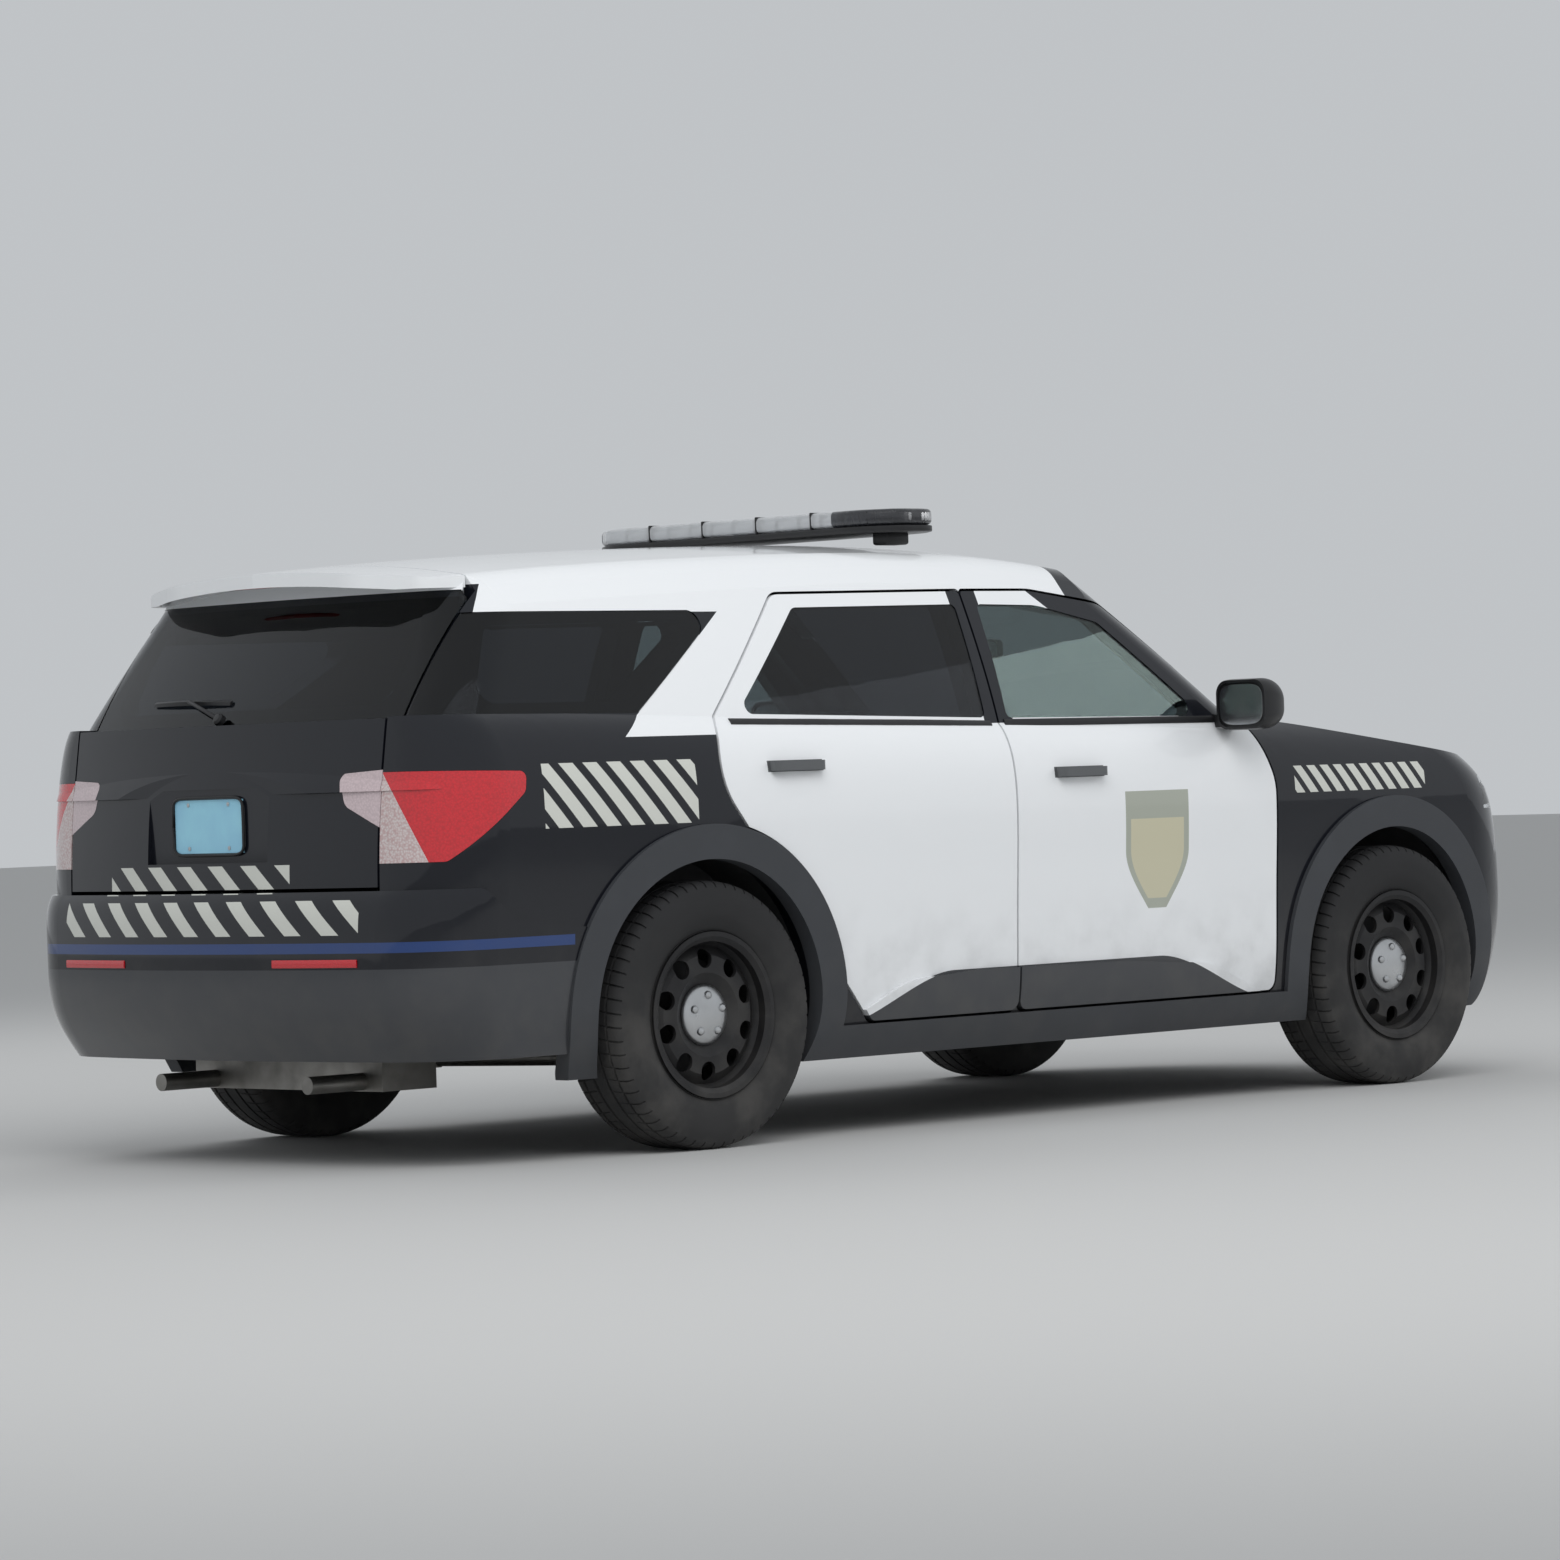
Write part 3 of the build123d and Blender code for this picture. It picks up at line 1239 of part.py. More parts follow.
os.makedirs("parts", exist_ok=True)
for name, shape in build().items():
    export_step(shape, f"parts/{name}.step")
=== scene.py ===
import math
from functools import partialmethod

import bmesh
import bpy
import numpy as np
from mathutils import Matrix, Vector


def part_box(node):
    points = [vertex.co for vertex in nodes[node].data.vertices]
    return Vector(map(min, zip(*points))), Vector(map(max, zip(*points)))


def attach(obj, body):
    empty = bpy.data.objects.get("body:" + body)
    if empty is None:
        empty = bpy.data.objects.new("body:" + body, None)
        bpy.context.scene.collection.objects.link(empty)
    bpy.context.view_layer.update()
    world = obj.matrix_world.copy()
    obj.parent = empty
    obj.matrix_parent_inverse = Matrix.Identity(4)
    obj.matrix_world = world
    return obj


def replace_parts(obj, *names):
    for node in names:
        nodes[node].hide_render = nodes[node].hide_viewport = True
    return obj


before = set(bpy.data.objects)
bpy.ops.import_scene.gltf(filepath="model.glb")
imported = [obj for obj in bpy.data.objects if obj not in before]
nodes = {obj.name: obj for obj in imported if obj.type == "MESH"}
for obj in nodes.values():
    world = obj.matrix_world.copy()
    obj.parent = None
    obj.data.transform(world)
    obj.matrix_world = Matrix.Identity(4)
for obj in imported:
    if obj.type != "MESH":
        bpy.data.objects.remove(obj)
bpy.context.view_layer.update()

# Sizes in metres. X runs to the car's front, Y to its left and Z up
WHEEL_CENTRES = {
    "front_left": (1.605, 0.85, 0.382),
    "front_right": (1.605, -0.85, 0.382),
    "rear_left": (-1.42, 0.85, 0.382),
    "rear_right": (-1.42, -0.85, 0.382),
}
BELT_Z = 1.178
DOOR_SPLIT_X = -0.160
# The white pillar's slanted rear edge, the white rail above it and where the roof's white ends in front
PILLAR_LEAN = 1.424
PILLAR_REAR = -3.373
RAIL_Z = 1.535
WHITE_ROOF_FRONT_X = 0.30
# The black frame in front of the front door's glass
FRAME_LEAN = 1.32
FRAME_FRONT = 2.23
# How far out the side's skin lies above the belt: it leans in with height and bows with length
SKIN_Y = 1.3613
SKIN_LEAN = 0.374
SKIN_BOW = 1 / 120
SKIN_DEEP = 0.030
INSIDE_TOP_Z = 1.62
DOOR_FOOT_MIDDLE = 0.02
DOOR_FOOT_Z = 0.462
EMBLEM_X = 0.46
EMBLEM_Z = 0.80
EMBLEM_HALF = 0.145

# The photograph's camera
CAMERA_PLACE = (-12.642, -12.813, 1.06)
CAMERA_YAW = -44.173
CAMERA_PITCH = 0.063
CAMERA_ROLL = -1.951
CAMERA_LENS = 132.6
SENSOR_WIDTH = 36.0

WHITE = (0.84, 0.855, 0.87)
BLACK = (0.006, 0.007, 0.011)
PLASTIC_GREY = (0.045, 0.048, 0.054)
STRIPE_BLUE = (0.02, 0.05, 0.17)
PALE_MARKING = (0.62, 0.63, 0.58)
PLATE_BLUE = (0.30, 0.60, 0.78)
EMBLEM_GREY = (0.40, 0.42, 0.36)
EMBLEM_PALE = (0.58, 0.55, 0.40)
# The handle's own dark grey, also painted on the door skin behind each handle as a recess shadow
HANDLE_GREY_AND_RECESS_SHADE = (0.10, 0.105, 0.11)
LAMP_RED = (0.62, 0.01, 0.02)
# A dark tone laid over surfaces, thicker towards the ground
LOW_DARK_TONE = (0.10, 0.095, 0.088)


class Field:
    """A number that varies over a surface. Arithmetic on it adds the nodes that work it out."""

    def __init__(self, finish, socket):
        self.finish = finish
        self.socket = socket

    def _with(self, operation, *others):
        node = self.finish.add("ShaderNodeMath")
        node.operation = operation
        for target, value in zip(node.inputs, (self, *others)):
            self.finish.feed(target, value)
        return Field(self.finish, node.outputs[0])

    __add__ = partialmethod(_with, "ADD")
    __sub__ = partialmethod(_with, "SUBTRACT")
    __mul__ = partialmethod(_with, "MULTIPLY")
    __mod__ = partialmethod(_with, "FLOORED_MODULO")
    __gt__ = partialmethod(_with, "GREATER_THAN")
    __lt__ = partialmethod(_with, "LESS_THAN")
    __and__ = partialmethod(_with, "MINIMUM")
    __or__ = partialmethod(_with, "MAXIMUM")
    __abs__ = partialmethod(_with, "ABSOLUTE")

    def __invert__(self):
        return self * -1.0 + 1.0

    def between(self, low, high):
        return (self > low) & (self < high)

    def ramp(self, low, high):
        """0 at low and 1 at high, smooth between them and level beyond."""
        node = self.finish.add("ShaderNodeMapRange", Value=self, From_Min=low, From_Max=high)
        node.interpolation_type = "SMOOTHSTEP"
        return Field(self.finish, node.outputs["Result"])


class Finish:
    """One material, with the nodes that vary it over a surface."""

    def __init__(self, name, colour, roughness, **numbers):
        self.material = bpy.data.materials.new(name)
        self.material.use_nodes = True
        self.nodes = self.material.node_tree.nodes
        self.links = self.material.node_tree.links
        self.shader = self.nodes["Principled BSDF"]
        self.colour = (*colour, 1.0)
        self.material.diffuse_color = self.colour
        self.set_inputs(self.shader, {"Base_Color": self.colour, "Roughness": roughness, **numbers})
        self.where = self.nodes.new("ShaderNodeTexCoord").outputs["Object"]
        split = self.add("ShaderNodeSeparateXYZ", Vector=self.where)
        self.x, self.y, self.z = (Field(self, split.outputs[axis]) for axis in "XYZ")

    def feed(self, target, value):
        """Gives an input a number or a colour, or joins it to a field or a socket."""
        source = value.socket if isinstance(value, Field) else value
        if isinstance(source, bpy.types.NodeSocket):
            self.links.new(source, target)
        else:
            target.default_value = source

    def set_inputs(self, node, inputs):
        for name, value in inputs.items():
            self.feed(node.inputs[name.replace("_", " ")], value)

    def add(self, kind, **inputs):
        node = self.nodes.new(kind)
        self.set_inputs(node, inputs)
        return node

    def noise(self, scale, detail=3.0):
        node = self.add("ShaderNodeTexNoise", Scale=scale, Detail=detail, Vector=self.where)
        return Field(self, node.outputs["Fac"])

    def cells(self, scale):
        node = self.add("ShaderNodeTexVoronoi", Scale=scale, Vector=self.where)
        return Field(self, node.outputs["Distance"])

    def paint(self, mask, colour):
        """Lays a colour over what is there, as far as the mask says."""
        node = self.add("ShaderNodeMix", Factor=mask)
        node.data_type = "RGBA"
        under, over = node.inputs[6], node.inputs[7]
        self.feed(under, self.colour)
        self.feed(over, (*colour, 1.0))
        self.colour = node.outputs[2]
        self.feed(self.shader.inputs["Base Color"], self.colour)

    def vary(self, socket, field, low, high):
        """Runs one of the shader's numbers from low to high as the field runs from 0 to 1."""
        node = self.add("ShaderNodeMapRange", Value=field, To_Min=low, To_Max=high)
        self.feed(self.shader.inputs[socket], node.outputs["Result"])

    def bump(self, height, depth, strength):
        node = self.add("ShaderNodeBump", Strength=strength, Distance=depth, Height=height)
        self.feed(self.shader.inputs["Normal"], node.outputs["Normal"])


def darken_towards_ground(finish, top=0.75, amount=0.32):
    """A dark tone laid over the colour, thicker towards the ground and broken up by noise patches."""
    height = ~finish.z.ramp(0.25, top)
    noise_patches = finish.noise(9.0, 6.0).ramp(0.35, 0.75)
    film = height * (noise_patches * 0.8 + 0.2) * amount
    finish.paint(film, LOW_DARK_TONE)
    return film


def slanted_bars(finish, along, lean, pitch, share, zone):
    """A row of slanted bars along a field, inside a zone."""
    return ((along + finish.z * lean) % pitch < pitch * share) & zone


def body_paint(name, base, zones=()):
    """Clear-coated paint. Each zone is a function of the finish that gives a mask, and its colour."""
    finish = Finish(name, base, 0.35, Coat_Weight=0.9, Coat_Roughness=0.04, Specular_IOR_Level=0.12)
    for mask, colour in zones:
        finish.paint(mask(finish), colour)
    film = darken_towards_ground(finish)
    finish.vary("Roughness", film | finish.noise(3.0) * 0.25, 0.28, 0.75)
    finish.bump(finish.noise(220.0, 2.0), 0.00006, 0.5)
    return finish.material


def plastic(name, colour, roughness=0.6, grain=900.0, depth=0.00025, low_tone_amount=0.2):
    finish = Finish(name, colour, roughness)
    wear = finish.noise(6.0, 5.0)
    finish.paint(wear.ramp(0.45, 0.8) * 0.3, tuple(min(1.0, 1.6 * part) for part in colour))
    if low_tone_amount:
        darken_towards_ground(finish, 0.7, low_tone_amount)
    finish.vary("Roughness", wear, roughness - 0.1, roughness + 0.15)
    finish.bump(finish.cells(grain), depth, 0.6)
    return finish.material


def steel(name, colour, roughness, metallic=1.0, low_tone_amount=0.0):
    finish = Finish(name, colour, roughness, Metallic=metallic)
    patches = finish.noise(14.0, 6.0)
    finish.paint(patches.ramp(0.4, 0.8) * 0.3, tuple(0.5 * part for part in colour))
    if low_tone_amount:
        darken_towards_ground(finish, 0.8, low_tone_amount)
    finish.vary("Roughness", patches, roughness - 0.12, roughness + 0.18)
    finish.bump(finish.noise(160.0, 4.0), 0.0002, 0.4)
    return finish.material


def glass(name, tint, roughness=0.01):
    finish = Finish(name, tint, roughness, Transmission_Weight=1.0, IOR=1.45, Specular_IOR_Level=0.5)
    smears = finish.noise(5.0, 5.0)
    finish.vary("Roughness", smears.ramp(0.5, 0.9), roughness, roughness + 0.03)
    return finish.material


def stage_finish(name, colour):
    finish = Finish(name, colour, 0.8, Specular_IOR_Level=0.2)
    mottle = finish.noise(0.7, 2.0)
    finish.paint(mottle * 0.06, tuple(0.9 * part for part in colour))
    return finish.material


# Livery: each function says where a colour lies, as a mask on a finish
BAR_LEAN = 0.9
BAR_SHARE = 0.6
DOOR_BLACK_Z = BELT_Z + 0.012
HANDLE_HALF = (0.11, 0.0165)
EMBLEM_SMALLER = 0.84


def outside(finish):
    """The outer faces of the side above the belt, and all of the roof."""
    along = finish.x + 0.1
    skin = finish.z * -SKIN_LEAN + along * along * -SKIN_BOW + (SKIN_Y - SKIN_DEEP)
    return (abs(finish.y) > skin) | (finish.z > INSIDE_TOP_Z)


def side_white(finish):
    """White roof rail and rear pillar. The front pillar, the lower quarter and the rear corner stay black."""
    rail = (finish.z > RAIL_Z) & (finish.x < WHITE_ROOF_FRONT_X)
    pillar = (finish.x + finish.z * -PILLAR_LEAN) > PILLAR_REAR
    return (rail | (pillar & (finish.z > BELT_Z) & (finish.x < DOOR_SPLIT_X))) & outside(finish)


def door_inside(finish):
    return (finish.z > BELT_Z) & ~outside(finish)


def blue_stripe(finish):
    return finish.z.between(0.605, 0.634) & (finish.x < -1.93)


def side_bars(x_range, z_range, pitch):
    """Slanted bars on the car's side, inside a rectangle."""
    return lambda finish: slanted_bars(finish, finish.x, BAR_LEAN, pitch, BAR_SHARE,
                                       finish.x.between(*x_range) & finish.z.between(*z_range))


def gate_bars(finish):
    """Two rows of bars across the tail: a long one over the bumper's top and a short one above it."""
    long_row = finish.z.between(0.655, 0.752) & (abs(finish.y) < 0.66)
    short_row = finish.z.between(0.772, 0.852) & finish.y.between(-0.36, 0.46)
    return slanted_bars(finish, finish.y * -1.0, 1.15, 0.142, 0.45, (long_row | short_row) & (finish.x < -2.3))


def front_door_black(finish):
    """The band between the two doors' windows, and the frame in front of the glass."""
    front_frame = (finish.x < -0.098) | (finish.x + finish.z * FRAME_LEAN > FRAME_FRONT)
    return (finish.z > DOOR_BLACK_Z) & front_frame


def rear_door_black(finish):
    return (finish.z > DOOR_BLACK_Z) & (finish.x > -0.222)


def door_foot(finish):
    """The raised plastic along the door's foot, with a top edge that dips towards each wheel."""
    middle = abs(finish.x - DOOR_FOOT_MIDDLE)
    edge = middle.ramp(0.45, 0.98) * -0.15 + DOOR_FOOT_Z
    return (finish.z - edge) < 0.0


# Paints the handle bar dark grey, and the door skin behind it, inside the same outline, as a painted recess
# shadow
def handle_and_recess_shade(x, z):
    return lambda finish: (abs(finish.x - x) < HANDLE_HALF[0]) & (abs(finish.z - z) < HANDLE_HALF[1])


def emblem(grow):
    """A plain shield: straight sides over a pointed foot."""
    def mask(finish):
        across = abs(finish.x - EMBLEM_X)
        below = finish.z * -1.0 + (EMBLEM_Z - 0.01)
        taper = below.ramp(0.0, 0.30) * 0.16
        inside = (taper + across) < EMBLEM_HALF * grow
        return inside & finish.z.between(EMBLEM_Z - 0.19 * grow, EMBLEM_Z + 0.17 * grow)

    return mask


def emblem_bar(finish):
    return emblem(EMBLEM_SMALLER)(finish) & (finish.z > EMBLEM_Z + 0.085)


def bumper_foot(finish):
    return finish.z < 0.56


def gate_spoiler(finish):
    return (finish.z > 1.585) & (finish.x < -2.0)


PAINT_BODY = body_paint("paint_body_side", BLACK, [
    (side_white, WHITE), (blue_stripe, STRIPE_BLUE),
    (side_bars((-2.03, -1.46), (0.93, 1.11), 0.088), PALE_MARKING),
])
PAINT_BLACK = body_paint("paint_black", BLACK)
PAINT_WHITE = body_paint("paint_white", WHITE)
PAINT_FRONT_DOOR = body_paint("paint_front_door", WHITE, [
    (front_door_black, BLACK), (door_inside, BLACK), (door_foot, PLASTIC_GREY),
    (handle_and_recess_shade(0.118, 1.036), HANDLE_GREY_AND_RECESS_SHADE), (emblem(1.0), EMBLEM_GREY),
    (emblem(EMBLEM_SMALLER), EMBLEM_PALE), (emblem_bar, EMBLEM_GREY),
])
PAINT_REAR_DOOR = body_paint("paint_rear_door", WHITE, [
    (rear_door_black, BLACK), (door_inside, BLACK), (door_foot, PLASTIC_GREY),
    (handle_and_recess_shade(-1.070, 1.082), HANDLE_GREY_AND_RECESS_SHADE),
])
PAINT_BUMPER = body_paint("paint_bumper", BLACK, [
    (bumper_foot, PLASTIC_GREY), (gate_bars, PALE_MARKING), (blue_stripe, STRIPE_BLUE),
])
PAINT_GATE = body_paint("paint_tailgate", BLACK, [(gate_spoiler, WHITE), (gate_bars, PALE_MARKING)])
PAINT_FENDER = body_paint("paint_fender", BLACK, [
    (side_bars((1.12, 1.78), (0.945, 1.03), 0.066), PALE_MARKING),
])

CLADDING = plastic("moulded_cladding", PLASTIC_GREY)
TRIM_BLACK = plastic("trim_black", (0.012, 0.012, 0.013), 0.35, 1500.0, 0.0001)
CABIN_PLASTIC = plastic("cabin_plastic", (0.022, 0.022, 0.024), 0.7, 1200.0, 0.0003, 0.0)
CLEAR_GLASS = glass("glass_green", (0.72, 0.93, 0.87))
DARK_GLASS = glass("glass_dark", (0.10, 0.11, 0.125))
UNDERBODY = steel("underbody", (0.05, 0.05, 0.052), 0.65, 0.2, 0.5)
CHASSIS_STEEL = steel("chassis_steel", (0.06, 0.06, 0.062), 0.5, 0.6, 0.6)
EXHAUST_STEEL = steel("exhaust_steel", (0.35, 0.34, 0.32), 0.4, 1.0, 0.5)
CAST_METAL = steel("cast_metal", (0.32, 0.32, 0.33), 0.5, 1.0, 0.2)
WHEEL_STEEL = steel("wheel_steel", (0.018, 0.018, 0.02), 0.42, 0.4, 0.45)
BRIGHT_STEEL = steel("bright_steel", (0.62, 0.63, 0.64), 0.3)
MIRROR_SILVER = steel("mirror_silver", (0.36, 0.37, 0.38), 0.16)
RUBBER = plastic("tyre_rubber", (0.022, 0.022, 0.023), 0.8, 700.0, 0.0003, 0.5)
PLATE = plastic("plate_blue", PLATE_BLUE, 0.35, 300.0, 0.0001, 0.1)
SEAT_CLOTH = plastic("seat_cloth", (0.03, 0.031, 0.034), 0.9, 1400.0, 0.0005, 0.0)
DOOR_TRIM = plastic("door_trim", (0.030, 0.030, 0.033), 0.65, 1100.0, 0.0003, 0.0)
HEADLINER = plastic("headliner_cloth", (0.30, 0.295, 0.28), 0.95, 1600.0, 0.0003, 0.0)
SCREEN_BLACK = plastic("screen_black", (0.008, 0.009, 0.011), 0.12, 60.0, 0.00002, 0.0)


def lens(name, colour, cell):
    """A lamp's clear outer skin over a pattern of prisms."""
    finish = Finish(name, colour, 0.25, Coat_Weight=1.0, Coat_Roughness=0.02)
    finish.paint(finish.cells(cell).ramp(0.0, 0.9) * 0.35, tuple(0.55 * part for part in colour))
    finish.bump(finish.cells(cell), 0.0015, 0.5)
    return finish.material


LAMP_PALE = (0.62, 0.56, 0.55)
LAMP_SHADE = (0.30, 0.008, 0.012)
LAMP_CLEAR_EDGE = -0.687
LAMP_CELLS = 150.0


def corner_lamp():
    """Red round the corner of the car, with a clear part inboard that widens downwards."""
    finish = Finish("lens_corner", LAMP_RED, 0.22, Coat_Weight=1.0, Coat_Roughness=0.02)
    round_corner = finish.x * 0.717 + abs(finish.y) * 0.697
    clear = (round_corner + finish.z * 0.4957) < LAMP_CLEAR_EDGE
    finish.paint(clear, LAMP_PALE)
    finish.paint(finish.cells(LAMP_CELLS).ramp(0.1, 0.9) * 0.4, LAMP_SHADE)
    finish.bump(finish.cells(LAMP_CELLS), 0.0015, 0.5)
    return finish.material


COVER_PALE = (0.84, 0.86, 0.88)
COVER_SMOKED = (0.05, 0.052, 0.06)
SMOKED_FROM_Y = -0.45
FLUTE_PITCH = 0.012


def light_cover():
    """The light bar's fluted cover: clear apart from its smoked right end."""
    finish = Finish("cover_clear", COVER_PALE, 0.18, Transmission_Weight=0.55, IOR=1.45, Coat_Weight=0.6)
    finish.paint(finish.y < SMOKED_FROM_Y, COVER_SMOKED)
    finish.bump((finish.y % FLUTE_PITCH) * 80.0, 0.0006, 0.4)
    finish.vary("Roughness", finish.noise(12.0, 4.0), 0.12, 0.3)
    return finish.material


CORNER_LAMP = corner_lamp()
COVER_CLEAR = light_cover()
CLEAR_LENS = lens("lens_clear", (0.75, 0.76, 0.78), 120.0)
PINK_LENS = lens("lens_reverse", (0.62, 0.50, 0.52), 140.0)
RED_LENS = lens("lens_red", LAMP_RED, 260.0)
LAMP_GLASS = glass("lamp_glass", (0.90, 0.92, 0.94), 0.02)

NODE_FINISHES = {
    "floor": UNDERBODY, "front_structure": UNDERBODY, "roof_panel": PAINT_WHITE, "hood": PAINT_BLACK,
    "front_bumper": PAINT_BLACK, "grille": TRIM_BLACK, "rear_bumper": PAINT_BUMPER,
    "fenders": PAINT_FENDER, "cladding": CLADDING, "headlamps": LAMP_GLASS, "tail_lamps": CORNER_LAMP,
    "tailgate": PAINT_GATE, "tailgate_glass": DARK_GLASS, "tailgate_lamps": PINK_LENS,
    "number_plate": PLATE, "light_bar": CLEAR_LENS, "seats": SEAT_CLOTH, "dashboard": CABIN_PLASTIC,
    "steering_wheel": CABIN_PLASTIC, "engine": CAST_METAL, "front_suspension": CHASSIS_STEEL,
    "rear_suspension": CHASSIS_STEEL, "exhaust": EXHAUST_STEEL, "fuel_tank": CABIN_PLASTIC,
    "body_side": PAINT_BODY, "door_front": PAINT_FRONT_DOOR, "door_rear": PAINT_REAR_DOOR,
    "glass_front": CLEAR_GLASS, "glass_rear": DARK_GLASS, "mirror": TRIM_BLACK, "knuckle": CHASSIS_STEEL,
    "tyre": RUBBER, "wheel": WHEEL_STEEL, "fixed_glass": DARK_GLASS,
}
PLACES = ("_left", "_right", "_front_left", "_front_right", "_rear_left", "_rear_right")


def finish_for(node):
    """The finish of a node, or of its kind where its name ends with its place on the car."""
    kinds = [node] + [node.removesuffix(place) for place in PLACES]
    return next(NODE_FINISHES[kind] for kind in kinds if kind in NODE_FINISHES)


for node_name, node_object in nodes.items():
    node_object.data.materials.clear()
    node_object.data.materials.append(finish_for(node_name))


# Shapes
SHARP_EDGE = math.radians(38)


def linked(name, data):
    """A new object, put in the scene."""
    thing = bpy.data.objects.new(name, data)
    bpy.context.collection.objects.link(thing)
    return thing


def new_piece(name, mesh, material, body="body", sharp=SHARP_EDGE):
    """Puts a finished mesh in the scene, smooth apart from its sharp edges, on a body."""
    mesh.name = name
    mesh.shade_smooth()
    mesh.set_sharp_from_angle(angle=sharp)
    mesh.materials.append(material)
    piece = linked(name, mesh)
    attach(piece, body)
    return piece


def bezier(start, control, end, count):
    """Points of a curve from start to end, drawn towards a control point."""
    start, control, end = (np.array(point, dtype=float) for point in (start, control, end))
    steps = np.linspace(0.0, 1.0, count)[:, None]
    return (1 - steps) ** 2 * start + 2 * steps * (1 - steps) * control + steps ** 2 * end


def mesh_of(shape):
    """A mesh of a bmesh, which is freed."""
    mesh = bpy.data.meshes.new("shape")
    shape.to_mesh(mesh)
    shape.free()
    return mesh


def mesh_over(rows, faces):
    """A mesh of faces over rows of points."""
    mesh = bpy.data.meshes.new("rows")
    mesh.from_pydata([tuple(point) for row in rows for point in row], [], faces)
    return tidied(mesh)


def tidied(mesh):
    """The mesh with points that coincide made one, flat faces dropped and all faces facing outwards."""
    shape = bmesh.new()
    shape.from_mesh(mesh)
    bmesh.ops.remove_doubles(shape, verts=shape.verts, dist=1e-6)
    bmesh.ops.dissolve_degenerate(shape, edges=shape.edges, dist=1e-7)
    bmesh.ops.recalc_face_normals(shape, faces=shape.faces)
    shape.to_mesh(mesh)
    shape.free()
    return mesh


def grid_mesh(points, ring_rows=False, ring_columns=False, caps=False):
    """A mesh over rows of points. A ring joins the last row or column to the first, and caps close the ends."""
    rows, columns = len(points), len(points[0])
    faces = []
    for row in range(rows if ring_rows else rows - 1):
        for column in range(columns if ring_columns else columns - 1):
            next_row, next_column = (row + 1) % rows, (column + 1) % columns
            faces.append((row * columns + column, row * columns + next_column,
                          next_row * columns + next_column, next_row * columns + column))
    if caps:
        last = (rows - 1) * columns
        faces.append(tuple(range(columns))[::-1])
        faces.append(tuple(range(last, last + columns)))
    return mesh_over(points, faces)


def spun_mesh(profile, steps, centre=(0, 0, 0)):
    """A closed profile of radius and height along Y, turned about an axle through a centre."""
    points = []
    for step in range(steps):
        angle = 2 * math.pi * step / steps
        points.append([(centre[0] + radius * math.cos(angle), centre[1] + out,
                        centre[2] + radius * math.sin(angle)) for radius, out in profile])
    return grid_mesh(points, ring_rows=True, ring_columns=True)


def rounded(shape, bevel, segments):
    bmesh.ops.bevel(shape, geom=list(shape.edges), offset=bevel, segments=segments, affect="EDGES", profile=0.5)


def blocks_mesh(boxes, bevel):
    """One mesh of boxes with rounded edges. Each box is its lowest and its highest corner."""
    shape = bmesh.new()
    for low, high in boxes:
        made = bmesh.ops.create_cube(shape, size=1.0)
        for vertex in made["verts"]:
            vertex.co = Vector([(a + b) / 2 + (b - a) * c for a, b, c in zip(low, high, vertex.co)])
    rounded(shape, bevel, 2)
    return mesh_of(shape)


def slab_mesh(outline, thickness, bevel, place, segments=2):
    """A flat outline made into a slab with rounded edges. Place turns its u, v, w into a point."""
    shape = bmesh.new()
    base = shape.faces.new([shape.verts.new((u, v, 0.0)) for u, v in outline])
    lifted = bmesh.ops.extrude_face_region(shape, geom=[base])
    for item in lifted["geom"]:
        if isinstance(item, bmesh.types.BMVert):
            item.co.z += thickness
    bmesh.ops.recalc_face_normals(shape, faces=shape.faces)
    rounded(shape, bevel, segments)
    for vertex in shape.verts:
        vertex.co = Vector(place(*vertex.co))
    return tidied(mesh_of(shape))


def rounded_square(sharp, steps):
    """Points round a square from -1 to 1 with round corners."""
    points = []
    for quarter in range(4):
        for step in range(steps):
            turn = math.pi / 2 * (quarter + step / (steps - 1))
            c, s = math.cos(turn), math.sin(turn)
            points.append((math.copysign(abs(c) ** sharp, c), math.copysign(abs(s) ** sharp, s)))
    return [point for index, point in enumerate(points) if math.dist(point, points[index - 1]) > 1e-6]


def rounded_slab(half_u, half_v, thickness, bevel, place, sharp=0.4, steps=8, segments=2):
    """A slab whose outline is a rectangle with round corners."""
    outline = [(u * half_u, v * half_v) for u, v in rounded_square(sharp, steps)]
    return slab_mesh(outline, thickness, bevel, place, segments)


def facing(x, y, z, way=-1):
    """Lays a slab's outline across the car at a point, with its thickness along X."""
    return lambda u, v, w: (x + way * w, y + u, z + v)


def joined(meshes):
    """Several meshes made one."""
    shape = bmesh.new()
    for mesh in meshes:
        shape.from_mesh(mesh)
        bpy.data.meshes.remove(mesh)
    return mesh_of(shape)


def tube_piece(name, points, radius, material, body="body", closed=False):
    """A round bar: smooth from end to end, or closed and straight between its points."""
    curve = bpy.data.curves.new(name, "CURVE")
    curve.dimensions = "3D"
    curve.bevel_depth = radius
    curve.bevel_resolution = 3
    curve.use_fill_caps = not closed
    spline = curve.splines.new("POLY" if closed else "NURBS")
    spline.points.add(len(points) - 1)
    for spot, point in zip(spline.points, points):
        spot.co = (*point, 1.0)
    spline.use_cyclic_u = closed
    if not closed:
        spline.order_u = 3
        spline.use_endpoint_u = True
        spline.resolution_u = 8
    curve.materials.append(material)
    piece = linked(name, curve)
    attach(piece, body)
    return piece


def hit(node, start, way):
    """The first point of a node's surface along a ray, and the way that it faces."""
    found, point, normal, _ = nodes[node].ray_cast(Vector(start), Vector(way).normalized())
    if not found:
        raise ValueError(f"{node} isn't met from {tuple(start)}")
    return point, normal


SIDES = (("left", 1), ("right", -1))
AXLES = ("front", "rear")


